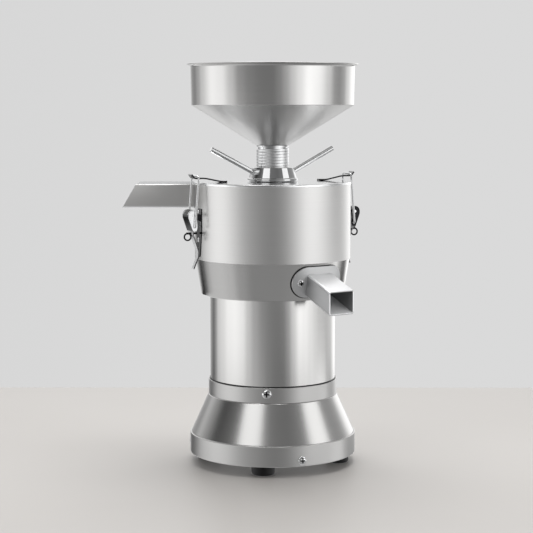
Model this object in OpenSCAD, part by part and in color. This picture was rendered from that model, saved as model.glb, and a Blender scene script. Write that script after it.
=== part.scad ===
// Upright wet grinder: hopper, screw-set upper stone, spinning filter basket, milk bowl and motor base.
// Z is up and the feet stand on z = 0. The pulp chute points to -X, the milk spout to the front right.

/* [Heights] */
// Height of the rubber feet
foot_h = 14.5; // [10:0.5:20]
// Height of the base ring
base_ring_h = 28; // [27:0.5:38]
// Height of the flared base cone
base_cone_h = 53.5; // [46:0.5:65]
// Height of the clamp collar
collar_h = 21.2; // [20:0.1:32]
// Height of the motor housing that shows above the collar
motor_show_h = 118.6; // [112:0.2:150]
// Height of the tapered milk bowl
bowl_h = 50.2; // [46:0.2:58]
// Height of the drum
drum_h = 102.5; // [100:0.5:125]
// Thickness of the lid
lid_t = 2.2; // [1.5:0.1:4]
// Height of the adjusting nut
nut_h = 19.3; // [17:0.1:26]
// Thread that shows between the nut and the hopper
tube_show_h = 29.6; // [20:0.1:45]
// Height of the hopper's cone
hopper_cone_h = 55.5; // [45:0.5:75]
// Height of the hopper's straight wall
hopper_wall_h = 56.2; // [40:0.1:90]

/* [Diameters] */
// Outside diameter of the base ring
base_d = 230.8; // [224:0.2:250]
// Outside diameter of the motor housing
motor_d = 174.4; // [168:0.2:180]
// Outside diameter of the milk bowl at its floor
bowl_floor_d = 198.2; // [190:0.2:204]
// Outside diameter of the drum
drum_d = 215.8; // [212:0.2:224]
// Diameter of the hopper where its wall meets its cone
hopper_d = 224.4; // [190:0.2:260]
// Extra diameter of the hopper's wall at its top
hopper_taper = 2.2; // [0:0.1:8]
// Extra diameter of the hopper's flared rim
rim_flare = 9.8; // [4:0.1:16]

/* [Sheet] */
// Sheet of the base ring
ring_t = 1.8; // [1.2:0.1:2.5]
// Sheet of the base cone, motor housing and milk bowl
sheet_t = 1.6; // [1:0.1:2.2]
// Sheet of the drum
drum_t = 1.5; // [1:0.1:2.2]
// Sheet of the collar
collar_t = 1.3; // [0.8:0.1:2]
// Sheet of the hopper
hopper_t = 1.2; // [0.8:0.1:1.8]
// Plate of the base pan
pan_t = 2; // [1.2:0.1:3]

/* [Clearances] */
// Sheet pieces that slip into each other
slip = 0.2; // [0.1:0.05:0.4]
// Pins and shafts in their holes
run = 0.06; // [0.03:0.01:0.1]
// Moving pieces that must not touch
gap = 0.4; // [0.3:0.05:0.8]

/* [Feet and base] */
// Diameter of a foot
foot_d = 32; // [24:1:40]
// Circle that the feet stand on
foot_circle_d = 182; // [160:1:190]
// Angle of the first foot
foot_angle = 262; // [0:0.5:360]
// Height of the base pan's upturned lip
pan_lip_h = 21.5; // [20:0.5:24]
// Depth of the base cone's skirt inside the ring
skirt_h = 6; // [3:0.5:6]
// Width of the ledge at the top of the base cone
ledge_w = 10.6; // [6:0.2:16]
// Height of the base ring's screws above the pan
ring_screw_up = 8.5; // [6:0.5:14]
// Angle of the first base ring screw
ring_screw_angle = 290; // [0:0.5:360]
// Height of the collar screws above the collar's foot
collar_screw_up = 13; // [10:0.5:14]
// Angle of the first collar screw
collar_screw_angle = 265; // [0:0.5:360]
// Gap between the collar and the motor housing
collar_gap = 0.9; // [0.3:0.1:2]
// Height of the cable gland above the pan
gland_up = 12; // [11:0.5:13]
// Diameter of the cable gland's thread
gland_d = 16; // [12:0.5:16]
// Bore of the cable gland
gland_bore_d = 9; // [6:0.5:10]
// Height of the switch up the base cone
switch_up = 25; // [20:0.5:30]
// Diameter of the switch's barrel
switch_d = 19.6; // [17:0.1:22]
// Tilt of the rocker in its off position
rocker_tilt = 10; // [6:1:12]

/* [Motor] */
// Bore of the ball bearings
bearing_bore_d = 17; // [15:1:20]
// Outside diameter of the ball bearings
bearing_od = 40; // [38:1:44]
// Width of the ball bearings
bearing_w = 12; // [11:0.5:14]
// Diameter of the balls
ball_d = 6.6; // [5:0.1:7]
// Number of balls in a bearing
ball_n = 8; // [6:1:8]
// Height of the stator above the collar's foot
stator_up = 47.5; // [44:0.5:50]
// Height of the stator stack
stator_h = 60; // [45:1:62]
// Bore of the stator
stator_bore_d = 96; // [90:1:104]
// Air gap between rotor and stator
air_gap = 0.6; // [0.4:0.1:1.2]
// Number of stator slots
slot_n = 24; // [12:2:24]
// Width of a stator slot
slot_w = 6; // [4:0.5:7]
// Depth of a stator slot
slot_depth = 18; // [12:0.5:20]
// Height of the winding heads
winding_h = 14; // [8:0.5:16]
// Diameter of the shaft in the rotor
shaft_d = 24; // [22:0.5:28]
// Thickness of the end bells' plates
bell_t = 6; // [4:0.5:8]
// Diameter of the fan
fan_d = 128; // [100:1:136]
// Height of the fan's blades
fan_h = 18; // [12:1:20]
// Number of fan blades
blade_n = 8; // [5:1:12]
// Diameter of the run capacitor
cap_d = 35; // [28:1:38]
// Length of the run capacitor
cap_l = 70; // [50:1:80]

/* [Grinding parts] */
// Diameter of the grinding stones
stone_d = 100; // [80:1:108]
// Thickness of each stone
stone_t = 15; // [12:0.5:17]
// Gap between the stones with the nut screwed down
stone_gap = 0.5; // [0.3:0.1:1]
// Hole in the upper stone
stone_hole_d = 40; // [36:1:46]
// Height of the stones' seat above the bowl's foot
stone_up = 30; // [29:0.5:32]
// Diameter of the filter basket's floor
basket_floor_d = 116; // [112:1:126]
// Diameter of the filter basket's rim
basket_rim_d = 181; // [170:1:184]
// Height of the basket's rim above the drum's foot
basket_up = 83; // [76:0.5:84]
// Number of windows in the basket
window_n = 12; // [6:1:16]
// Gap from the basket's rim to the pulp shelf
shelf_gap = 2; // [1:0.1:4]
// Bore of the feed tube
feed_bore_d = 37.2; // [34:0.2:37.6]
// Outside diameter of the feed tube
feed_d = 43.2; // [42.4:0.2:46]
// Depth of the feed tube's thread
thread_depth = 2.0; // [1.2:0.1:2.2]
// Pitch of the feed tube's thread
thread_pitch = 4; // [3:0.25:6]
// Length of the guide sleeve under the lid
sleeve_l = 22; // [14:0.5:26]

/* [Lid and nut] */
// Thickness of the lid's gasket
gasket_t = 0.8; // [0.5:0.1:2.5]
// Overhang of the lid past the drum
lid_over = 0.9; // [0.8:0.1:3]
// Diameter of the nut's flange
nut_d = 70; // [60:0.2:80]
// Height of the nut's flange
nut_flange_h = 4.5; // [3:0.5:6]
// Diameter of the nut's top
nut_top_d = 57.2; // [55:0.2:64]
// Diameter of the nut's handle rods
rod_d = 7; // [5:0.5:9]
// Reach of the handle rods from the axis
rod_reach = 90.8; // [70:0.2:100]
// Rise angle of the handle rods
rod_rise = 27.7; // [15:0.2:40]
// Direction of the handle rods and latches
cross_angle = 22.5; // [12:0.5:30]

/* [Latches] */
// Standoff of the lever's pivot from the drum
pivot_out = 12.6; // [11.5:0.1:15]
// Drop of the lever's pivot below the drum's rim
pivot_drop = 41; // [40:0.5:50]
// Inward offset of the bail's pivot from the lever's pivot
bail_in = 1.6; // [0.5:0.1:2]
// Drop of the bail's pivot below the lever's pivot
bail_drop = 16; // [14:0.5:20]
// Standoff of the bail's crossbar from the drum
bail_top_out = 5.5; // [5:0.1:7]
// Diameter of the bail's wire
wire_d = 3; // [2.5:0.1:3.4]
// Width of the bail between its legs' centres
bail_w = 28; // [27.8:0.1:40]
// Corner radius of the bail
bail_corner = 6; // [4:0.5:8]
// Width of the lever
lever_w = 24; // [22:0.2:26.4]
// Width of the lever below the bail and at its tip
lever_neck_w = 12.5; // [9:0.1:20]
lever_end_w = 8; // [6:0.1:16]
// Sheet of the lever
lever_t = 1.8; // [1.2:0.1:2.2]
// Sheet of the lever's cheeks and of the base's ears
ear_t = 1.6; // [1.2:0.1:2]
// Diameter of the lever's pivot pin
pin_d = 4; // [3:0.1:5]
// Width of the lid's catch strips
catch_w = 14; // [10:0.5:18]
// Sheet of the lid's catch strips
catch_t = 2; // [1.5:0.1:2.5]
// Rise of the catch strips' seats above the lid
catch_rise = 6; // [3:0.5:9]
// Drop of the ring pin below the lever's pivot
ring_drop = 29.5; // [27:0.5:34]
// Diameter of the pull ring
ring_d = 11.6; // [9:0.1:14]
// Wire of the pull ring
ring_wire_d = 1.8; // [1.4:0.1:2.4]

/* [Chute and spout] */
// Width of the pulp chute
chute_w = 80; // [60:1:84]
// Height of the pulp chute
chute_h = 33; // [24:0.5:34]
// Distance of the chute's front wall from the middle, toward the front
chute_front = 12; // [6:0.5:14]
// Reach of the chute's floor from the axis
chute_reach = 207.8; // [170:0.2:240]
// Setback of the chute's roof at its slanted mouth
chute_slant = 19; // [0:1:30]
// Corner radius of the chute
chute_corner = 4; // [2:0.5:6]
// Sheet of the chute
chute_t = 1.5; // [1:0.1:2]
// Direction of the milk spout
spout_angle = -53.5; // [-80:0.5:-30]
// Reach of the spout's mouth from the axis
spout_reach = 153; // [140:1:170]
// Height of the spout's mouth below the bowl's foot, at its lip
spout_drop = 15; // [8:0.2:20]
// Fall of the spout in degrees
spout_fall = 22.3; // [15:0.1:26]
// Width of the spout
spout_w = 42; // [30:0.5:42]
// Height of the spout
spout_h = 32.2; // [24:0.2:32.2]
// Sheet of the spout
spout_t = 1.8; // [1.2:0.1:2.4]
// Width of the spout's flange
flange_w = 80.8; // [76:0.2:90]
// Height of the spout's flange
flange_h = 41.5; // [38:0.5:44]
// Plate of the spout's flange
flange_t = 2; // [1.5:0.1:3]
// Thickness of the spout's gasket
pad_t = 0.7; // [0.5:0.1:1.5]
// Distance of each flange screw from the spout's middle
flange_screw_out = 28.5; // [26:0.5:31]

/* [Hidden] */
$fn = 72;

// Levels of the stack, from the feet up
z_base = foot_h;
z_cone = z_base + base_ring_h;
z_collar = z_cone + base_cone_h;
z_motor = z_collar + collar_h;
z_bowl = z_motor + motor_show_h;
z_drum = z_bowl + bowl_h;
z_rim = z_drum + drum_h;
z_lid = z_rim + gasket_t;
z_lid_top = z_lid + lid_t;
z_nut = z_lid_top + gap;
z_nut_top = z_nut + nut_h;
z_hopper = z_nut_top + tube_show_h;
z_seam = z_hopper + hopper_cone_h;
z_top = z_seam + hopper_wall_h;

// Radii that follow from the outside sizes
base_r = base_d / 2;
pan_r = base_r - ring_t - slip;
skirt_r = base_r - ring_t - slip / 2;
motor_r = motor_d / 2;
motor_in_r = motor_r - sheet_t;
bell_r = motor_in_r - slip;
collar_in_r = motor_r + collar_gap;
collar_r = collar_in_r + collar_t;
cone_top_r = collar_r + slip;
cone_slope = (skirt_r - cone_top_r) / base_cone_h;
cone_tilt = atan(cone_slope);
drum_r = drum_d / 2;
drum_in_r = drum_r - drum_t;
bowl_floor_r = bowl_floor_d / 2;
bowl_top_r = drum_in_r + 0.7;
z_floor = z_bowl + sheet_t;
hopper_r = hopper_d / 2;
hopper_top_r = hopper_r + hopper_taper / 2;
rim_r = hopper_top_r + rim_flare / 2;
lid_r = drum_r + lid_over;

// Fasteners: thread diameter, head diameter, head height
m5 = [4.8, 9.4, 3.2];
m5_wide = [4.8, 11.6, 3.4];
m6 = [5.8, 13, 3.6];
hole_gap = 0.3;

// Bearings and shaft seats
ball_ring_r = (bearing_bore_d + bearing_od) / 4;
race_t = (bearing_od - bearing_bore_d) / 4 - ball_d * 0.42;
z_low_bearing = z_collar + collar_screw_up - bearing_w / 2 - 1;
z_up_bearing = z_bowl - bell_t - bearing_w;
z_stator = z_collar + stator_up;
stator_bore_r = stator_bore_d / 2;
rotor_r = stator_bore_r - air_gap;
shaft_r = shaft_d / 2;
seat_r = bearing_bore_d / 2;
seal_r = 15.4;
seal_h = 10;
hub_h = 14;
fan_hub_r = 14;
fan_seat_r = seat_r - 1.5;
z_fan = z_low_bearing - fan_h - 17;

// Stones, basket and feed tube
z_stone = z_bowl + stone_up;
z_stone_top = z_stone + stone_t;
z_upper = z_stone_top + stone_gap;
z_holder = z_upper + stone_t;
stone_r = stone_d / 2;
hub_r = 18;
hub_seat_r = seat_r - 0.5;
stud_r = 6;
plate_t = 3;
basket_t = 1.8;
screen_t = 0.5;
z_basket = z_drum + basket_up;
basket_floor_r = basket_floor_d / 2;
basket_rim_r = basket_rim_d / 2;
basket_wall_r = basket_rim_r - 2.5;
rim_h = 4;
basket_fall = (basket_wall_r - basket_floor_r) / (z_basket - rim_h - z_stone + plate_t);
feed_bore_r = feed_bore_d / 2;
feed_r = feed_d / 2;
root_r = feed_r - 1.2;
crest_r = root_r + thread_depth;
z_thread = z_lid_top + 2;
thread_turns = (z_hopper - 2.5 - thread_pitch - z_thread) / thread_pitch;
sleeve_r = feed_r + run;
nut_bore_r = max(crest_r, feed_r) + gap;
holder_t = 4;
holder_hub_r = feed_r + 5.5;
key_w = 4;
key_in = 1.2;
spigot_r = feed_bore_r - 0.3;
spigot_l = 22;
cone_foot_r = max(crest_r, feed_r) - 0.1;

// Latch points, measured out from the drum and up from its rim
latch_at = [180 + cross_angle, cross_angle];
z_pivot = z_rim - pivot_drop;
bail_out = pivot_out - bail_in;
z_bail = z_pivot - bail_drop;
z_seat = z_lid_top + catch_rise;
z_cross = z_seat + catch_t / 2 + 1.5 * gap + wire_d / 2;
bail_l = norm([bail_out - bail_top_out, z_cross - z_bail]);
bail_tilt = atan((bail_out - bail_top_out) / (z_cross - z_bail));
ear_r = pin_d / 2 + 3;
knuckle_r = ear_r + gap + 0.4 + lever_t / 2;
cheek_in = lever_w / 2 - ear_t;
ear_in = cheek_in - gap - ear_t;
base_plate_t = 1.6;
lever_foot = [base_plate_t + gap + lever_t / 2, z_drum + 12];
lever_tip = [lever_t / 2 + 8.6, z_drum - 12];
z_ring = z_pivot - ring_drop;
ring_pin_r = 1.5;
lever_slope = (pivot_out + knuckle_r - lever_foot[0]) / (z_pivot - 3 - lever_foot[1]);
lever_face = lever_foot[0] + (z_ring - lever_foot[1]) * lever_slope + lever_t / 2;
ring_out = lever_face + 0.5 + ring_d / 2;
z_ring_pin = z_ring + ring_d / 2 - ring_wire_d / 2;

// Chute box and spout box
chute_y0 = -chute_front;
chute_z0 = z_rim - 0.5 - chute_h;
spout_z = z_bowl - spout_drop;
spout_rise = tan(spout_fall);
flange_z = z_bowl + bowl_h / 2 + 0.2;

steel = [0.75, 0.76, 0.77];
bright = [0.86, 0.87, 0.88];
rubber = [0.07, 0.07, 0.08];
copper = [0.72, 0.42, 0.2];
iron = [0.42, 0.43, 0.45];
cast = [0.62, 0.63, 0.65];
stone = [0.36, 0.38, 0.37];
dark = [0.1, 0.1, 0.11];

function unit(v) = v / norm(v);
function arc(c, r, a0, a1, n) = [for (i = [0 : n]) c + r * [cos(a0 + (a1 - a0) * i / n), sin(a0 + (a1 - a0) * i / n)]];
function side(a, b) = let (d = unit(b - a)) [-d[1], d[0]];
function shifted(p, i, h) =
    i == 0 ? p[0] + h * side(p[0], p[1]) :
    i == len(p) - 1 ? p[i] + h * side(p[i - 1], p[i]) :
    let (n1 = side(p[i - 1], p[i]), m = unit(n1 + side(p[i], p[i + 1]))) p[i] + h / (m * n1) * m;
function strip(p, t) = concat([for (i = [0 : len(p) - 1]) shifted(p, i, t / 2)],
    [for (i = [len(p) - 1 : -1 : 0]) shifted(p, i, -t / 2)]);
function bowl_r(z) = bowl_floor_r + (z - z_bowl) * (bowl_top_r - bowl_floor_r) / bowl_h;
function basket_in(z) = basket_floor_r + (z - z_stone + plate_t) * basket_fall;

// Ring of square section between two radii
module tube(r0, r1, z0, z1) {
    rotate_extrude() translate([r0, z0]) square([r1 - r0, z1 - z0]);
}

// Puts children on a radius, with their Z axis pointing outward
module outward(a, r, z) {
    rotate([0, 0, a]) translate([r, 0, z]) rotate([0, 90, 0]) children();
}

// Domed screw with a cross slot, head up from z = 0
module pan_screw(m, l) {
    r = m[1] / 2;
    h = m[2];
    difference() {
        rotate_extrude() polygon(concat([[0, -l], [m[0] / 2, -l], [m[0] / 2, 0], [r, 0], [r, h * 0.3]],
            [for (a = [20, 40, 60, 75]) [r * cos(a), h * (0.3 + 0.7 * sin(a))]], [[0, h]]));
        for (a = [0, 90]) rotate([0, 0, a]) translate([-r * 0.55, -0.6, h - 1.3]) cube([r * 1.1, 1.2, 2]);
    }
}

// Bent strip: path is given outward and upward, width runs sideways
module bent(path, t, w) {
    rotate([90, 0, 0]) linear_extrude(w, center = true) polygon(strip(path, t));
}

// Flat plate whose outline is given outward and upward
module upright(y0, y1) {
    translate([0, y1, 0]) rotate([90, 0, 0]) linear_extrude(y1 - y0) children();
}

module feet() {
    color(rubber) for (i = [0 : 3]) rotate([0, 0, foot_angle + 90 * i]) translate([foot_circle_d / 2, 0, 0])
        difference() {
            rotate_extrude() polygon([[0, 0], [foot_d / 2 - 2, 0], [foot_d / 2 - 0.6, 1], [foot_d / 2, 3],
                [foot_d / 2, foot_h], [0, foot_h]]);
            translate([0, 0, -1]) cylinder(d = m5[0] + 2 * hole_gap, h = foot_h + 2);
            translate([0, 0, -1]) cylinder(d = m5[1] + 3, h = foot_h - 5);
        }
}

module foot_screws() {
    color(steel) for (i = [0 : 3]) rotate([0, 0, foot_angle + 90 * i]) translate([foot_circle_d / 2, 0, 0]) {
        translate([0, 0, foot_h - 6]) rotate([180, 0, 0]) pan_screw(m5, 6 + pan_t + 6);
        translate([0, 0, z_base + pan_t]) difference() {
            cylinder(d = 9.2, h = 4, $fn = 6);
            translate([0, 0, -1]) cylinder(d = m5[0] + 0.1, h = 6);
        }
    }
}

module gland_hole() {
    outward(90, pan_r - 8, z_base + gland_up) cylinder(d = gland_d + 2 * slip, h = 20);
}

module base_pan() {
    color(cast) difference() {
        rotate_extrude() polygon([[0, z_base], [pan_r, z_base], [pan_r, z_base + pan_lip_h],
            [pan_r - sheet_t, z_base + pan_lip_h], [pan_r - sheet_t, z_base + pan_t], [0, z_base + pan_t]]);
        for (i = [0 : 3]) rotate([0, 0, foot_angle + 90 * i]) translate([foot_circle_d / 2, 0, z_base - 1])
            cylinder(d = m5[0] + 2 * hole_gap, h = pan_t + 2);
        for (i = [0 : 2]) outward(ring_screw_angle + 120 * i, pan_r - 6, z_base + ring_screw_up)
            cylinder(d = m5[0] + 0.1, h = 12);
        gland_hole();
        for (i = [0 : 11]) rotate([0, 0, 30 * i + 15]) for (x = [26, 38]) translate([x, 0, z_base - 1]) {
            translate([0, -2, 0]) cube([7, 4, pan_t + 2]);
            cylinder(r = 2, h = pan_t + 2);
            translate([7, 0, 0]) cylinder(r = 2, h = pan_t + 2);
        }
    }
}

module base_ring() {
    color(steel) difference() {
        rotate_extrude() polygon([[base_r - ring_t, z_base], [base_r - 0.7, z_base], [base_r, z_base + 0.9],
            [base_r, z_cone - 0.5], [base_r - 0.4, z_cone], [base_r - ring_t, z_cone]]);
        for (i = [0 : 2]) outward(ring_screw_angle + 120 * i, base_r - 6, z_base + ring_screw_up)
            cylinder(d = m5[0] + 2 * hole_gap, h = 12);
        gland_hole();
    }
}

module base_ring_screws() {
    color(bright) for (i = [0 : 2]) outward(ring_screw_angle + 120 * i, base_r, z_base + ring_screw_up)
        pan_screw(m5_wide, 10);
}

// Place on the back of the base cone, with Z square to the sheet
module on_cone() {
    translate([0, skirt_r - cone_slope * switch_up, z_cone + switch_up]) rotate([cone_tilt - 90, 0, 0]) children();
}

module base_cone() {
    across = sheet_t / cos(cone_tilt);
    color(steel) difference() {
        rotate_extrude() polygon([[skirt_r, z_cone - skirt_h], [skirt_r, z_cone], [cone_top_r, z_collar],
            [cone_top_r - ledge_w, z_collar], [cone_top_r - ledge_w, z_collar - sheet_t],
            [cone_top_r + sheet_t * cone_slope - across, z_collar - sheet_t],
            [skirt_r - across, z_cone], [skirt_r - sheet_t, z_cone - skirt_h]]);
        on_cone() translate([0, 0, -10]) cylinder(d = switch_d + 2 * slip, h = 20);
    }
}

module collar() {
    color(bright) difference() {
        rotate_extrude() polygon([[collar_in_r, z_collar], [collar_r, z_collar], [collar_r, z_motor - 0.4],
            [collar_r - 0.4, z_motor], [collar_in_r, z_motor]]);
        for (i = [0 : 2]) outward(collar_screw_angle + 120 * i, collar_r - 6, z_collar + collar_screw_up)
            cylinder(d = m6[0] + 2 * hole_gap, h = 12);
    }
}

module collar_screws() {
    color(bright) for (i = [0 : 2]) outward(collar_screw_angle + 120 * i, collar_r, z_collar + collar_screw_up)
        pan_screw(m6, collar_r - bell_r + 9);
}

module motor_housing() {
    color(steel) difference() {
        tube(motor_in_r, motor_r, z_collar, z_bowl);
        for (i = [0 : 2]) outward(collar_screw_angle + 120 * i, motor_r - 6, z_collar + collar_screw_up)
            cylinder(d = m6[0] + 2 * hole_gap, h = 12);
    }
}

module lower_end_bell() {
    z0 = z_low_bearing;
    z1 = z_low_bearing + bearing_w;
    r = bearing_od / 2 + 0.02;
    color(cast) difference() {
        rotate_extrude() polygon([[r, z0 - 1], [r + 6, z0 - 1], [r + 6, z1 - 4], [bell_r - 10, z1 - 4],
            [bell_r - 10, z_collar + 4], [bell_r, z_collar + 4], [bell_r, z1 + bell_t], [bell_r - 4, z1 + bell_t],
            [bell_r - 10, z1 + 2], [seat_r + 5.5, z1 + 2], [seat_r + 5.5, z1], [r, z1]]);
        for (i = [0 : 2]) outward(collar_screw_angle + 120 * i, bell_r - 16, z_collar + collar_screw_up)
            cylinder(d = m6[0] + 0.1, h = 20);
        for (i = [0 : 5]) rotate([0, 0, 60 * i + 25]) translate([(r + bell_r - 4) / 2, 0, z0])
            cylinder(r = 9, h = bearing_w + 4);
    }
}

module upper_end_bell() {
    r = bearing_od / 2 + 0.02;
    z0 = z_up_bearing;
    color(cast) difference() {
        rotate_extrude() polygon([[seat_r + 5.5, z_bowl - bell_t], [r, z_bowl - bell_t], [r, z0 - 1], [r + 6, z0 - 1],
            [r + 6, z_bowl - bell_t], [bell_r - 5, z_bowl - bell_t], [bell_r - 5, z0], [bell_r, z0],
            [bell_r, z_bowl], [seat_r + 5.5, z_bowl]]);
        for (i = [0 : 3]) rotate([0, 0, 90 * i + 45]) translate([60, 0, z_bowl - bell_t - 1])
            cylinder(d = m5[0] + 0.1, h = bell_t + 2);
    }
}

module stator_core() {
    color(iron) difference() {
        tube(stator_bore_r, bell_r, z_stator, z_stator + stator_h);
        for (i = [0 : slot_n - 1]) rotate([0, 0, 360 / slot_n * i]) {
            translate([stator_bore_r + 3, -slot_w / 2, z_stator - 1]) cube([slot_depth, slot_w, stator_h + 2]);
            translate([stator_bore_r - 2, -1, z_stator - 1]) cube([6, 2, stator_h + 2]);
        }
    }
}

module stator_windings() {
    r0 = stator_bore_r + 3 + 0.3;
    r1 = stator_bore_r + 3 + slot_depth - 0.3;
    c = 3;
    color(copper) {
        for (i = [0 : slot_n - 1]) rotate([0, 0, 360 / slot_n * i])
            translate([r0, -slot_w / 2 + 0.3, z_stator - 1]) cube([r1 - r0, slot_w - 0.6, stator_h + 2]);
        for (s = [0, 1]) translate([0, 0, z_stator + s * stator_h]) mirror([0, 0, 1 - s]) rotate_extrude()
            polygon([[r0, 0.5], [r1, 0.5], [r1, winding_h - c], [r1 - c, winding_h], [r0 + c, winding_h],
                [r0, winding_h - c]]);
    }
}

module race_outer(z) {
    color(bright) translate([0, 0, z]) rotate_extrude() difference() {
        translate([bearing_od / 2 - race_t, 0]) square([race_t, bearing_w]);
        translate([ball_ring_r, bearing_w / 2]) circle(d = ball_d + 0.3);
    }
}

module race_inner(z) {
    color(bright) translate([0, 0, z]) {
        rotate_extrude() difference() {
            translate([seat_r + 0.02, 0]) square([race_t - 0.02, bearing_w]);
            translate([ball_ring_r, bearing_w / 2]) circle(d = ball_d + 0.3);
        }
        for (i = [0 : ball_n - 1]) rotate([0, 0, 360 / ball_n * i]) translate([ball_ring_r, 0, bearing_w / 2])
            sphere(d = ball_d);
    }
}

module lower_bearing_outer() {
    race_outer(z_low_bearing);
}

module upper_bearing_outer() {
    race_outer(z_up_bearing);
}

module lower_bearing_inner() {
    race_inner(z_low_bearing);
}

module upper_bearing_inner() {
    race_inner(z_up_bearing);
}

cap_y = base_r - 53;
clip_w = 12;
cap_z = z_base + pan_t + sheet_t + cap_d / 2;

module run_capacitor() {
    color(dark) translate([-cap_l / 2, -cap_y, cap_z]) rotate([0, 90, 0]) {
        cylinder(d = cap_d, h = cap_l);
        for (y = [-6, 6]) translate([0, y, cap_l]) cylinder(d = 4, h = 7);
    }
}

module capacitor_clip() {
    r = cap_d / 2 + slip / 2;
    z = z_base + pan_t;
    color(steel) translate([-clip_w / 2, -cap_y, 0]) rotate([90, 0, 90]) linear_extrude(clip_w) difference() {
        union() {
            translate([0, cap_z]) circle(r = r + sheet_t - slip / 2);
            translate([-r - 10, z]) square([2 * r + 20, sheet_t]);
            translate([-r - sheet_t, z]) square([2 * r + 2 * sheet_t, cap_z - z]);
        }
        translate([0, cap_z]) circle(r = r);
        translate([-r, z + sheet_t]) square([2 * r, cap_z - z - sheet_t]);
    }
}

module cable_gland() {
    color(dark) outward(90, base_r, z_base + gland_up) {
        difference() {
            union() {
                cylinder(d = 23, h = 5, $fn = 6);
                translate([0, 0, 5]) rotate_extrude() polygon([[0, 0], [9.5, 0], [9.5, 6], [7.5, 10], [0, 10]]);
                translate([0, 0, -ring_t - slip - sheet_t - 7]) cylinder(d = gland_d, h = ring_t + slip + sheet_t + 8);
            }
            translate([0, 0, -20]) cylinder(d = gland_bore_d, h = 50);
        }
        translate([0, 0, -ring_t - slip - sheet_t - 5.7]) difference() {
            rotate([0, 0, 30]) cylinder(d = 22, h = 5, $fn = 6);
            translate([0, 0, -1]) cylinder(d = gland_d + 0.1, h = 7);
        }
    }
}

pocket_r = switch_d / 2 - 1.2;
rocker_r = pocket_r - 0.75;
rocker_z = -1;
trunnion_r = 1;

module switch_frame() {
    r = switch_d / 2;
    color(dark) on_cone() difference() {
        rotate_extrude() polygon([[0, -18], [r, -18], [r, 0.1], [r + 1.8, 0.1], [r + 1.8, 1.4], [r + 1, 2.4], [0, 2.4]]);
        translate([0, 0, -8]) cylinder(r = pocket_r, h = 20);
        translate([-r + 0.4, 0, rocker_z]) rotate([0, 90, 0]) cylinder(r = trunnion_r + run, h = 2 * r - 0.8);
    }
}

module switch_rocker() {
    color([0.16, 0.16, 0.17]) on_cone() translate([0, 0, rocker_z]) rotate([rocker_tilt, 0, 0]) {
        intersection() {
            translate([0, 0, -3]) cylinder(r = rocker_r, h = 10);
            rotate([90, 0, 90]) linear_extrude(30, center = true) polygon([[-12, -3], [12, -3], [12, 4.6], [0, 2.6],
                [-12, 4.6]]);
        }
        translate([-pocket_r - 0.6, 0, 0]) rotate([0, 90, 0]) cylinder(r = trunnion_r, h = 2 * pocket_r + 1.2);
    }
}

// Layer between two offsets from the bowl's outer wall
module bowl_layer(a, b) {
    rotate_extrude() polygon([[bowl_r(z_bowl) + a, z_bowl], [bowl_r(z_bowl) + b, z_bowl],
        [bowl_r(z_drum) + b, z_drum], [bowl_r(z_drum) + a, z_drum]]);
}

module spout_way(grow) {
    z = spout_z - grow;
    h = spout_h + 2 * grow;
    x = spout_reach + 1;
    rotate([0, 0, spout_angle]) rotate([90, 0, 0]) linear_extrude(spout_w + 2 * grow, center = true)
        polygon([[x, z - spout_rise], [x, z + h - spout_rise], [80, z + h + (spout_reach - 80) * spout_rise],
            [80, z + (spout_reach - 80) * spout_rise]]);
}

module flange_blank() {
    rotate([0, 0, spout_angle]) rotate([90, 0, 90]) linear_extrude(drum_r + 20) translate([0, flange_z]) {
        square([flange_w - flange_h, flange_h], center = true);
        for (s = [-1, 1]) translate([s * (flange_w - flange_h) / 2, 0]) circle(d = flange_h);
    }
}

// Places of the flange screws, square to the bowl's wall
module flange_spots(off) {
    r = bowl_r(flange_z);
    turn = asin(flange_screw_out / r);
    tilt = atan((bowl_top_r - bowl_floor_r) / bowl_h);
    for (s = [-1, 1]) rotate([0, 0, spout_angle + s * turn]) translate([r, 0, flange_z]) rotate([0, 90 + tilt, 0])
        translate([0, 0, off]) children();
}

module milk_bowl() {
    hub_in = seal_r + 0.1;
    color(steel) difference() {
        rotate_extrude() polygon([[hub_in, z_bowl], [bowl_floor_r - 1.5, z_bowl],
            [bowl_r(z_bowl + 1.5), z_bowl + 1.5], [bowl_top_r, z_drum], [drum_in_r - slip, z_drum],
            [drum_in_r - slip, z_drum + 12], [drum_in_r - slip - sheet_t, z_drum + 12],
            [drum_in_r - slip - sheet_t, z_drum - 2], [bowl_r(z_floor) - sheet_t, z_floor],
            [hub_in + 3.5, z_floor], [hub_in + 3.5, z_floor + hub_h], [hub_in, z_floor + hub_h]]);
        for (i = [0 : 3]) rotate([0, 0, 90 * i + 45]) translate([60, 0, z_bowl - 1])
            cylinder(d = m5[0] + 2 * hole_gap, h = sheet_t + 2);
        intersection() {
            spout_way(-spout_t);
            bowl_layer(-sheet_t - 6, 6);
        }
        flange_spots(-6) cylinder(d = m5[0] + 2 * hole_gap, h = 12);
    }
}

module shaft_seal() {
    color(rubber) translate([0, 0, z_floor + 2]) tube(seat_r + run, seal_r, 0, seal_h);
}

module bowl_bolts() {
    color(bright) for (i = [0 : 3]) rotate([0, 0, 90 * i + 45]) translate([60, 0, z_floor])
        pan_screw(m5, sheet_t + bell_t + 3);
}

// Outline of the chute, shrunk by its sheet for the way through it
module chute_outline(inset) {
    c = chute_corner - inset;
    w = chute_w - 2 * inset;
    h = chute_h - 2 * inset;
    translate([chute_y0 + inset, chute_z0 + inset]) {
        translate([c, 0]) square([w - 2 * c, h]);
        translate([0, c]) square([w, h - 2 * c]);
        for (x = [c, w - c], y = [c, h - c]) translate([x, y]) circle(r = c);
    }
}

module along_chute(x0, x1) {
    translate([x0, 0, 0]) rotate([90, 0, 90]) linear_extrude(x1 - x0) children();
}

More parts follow.
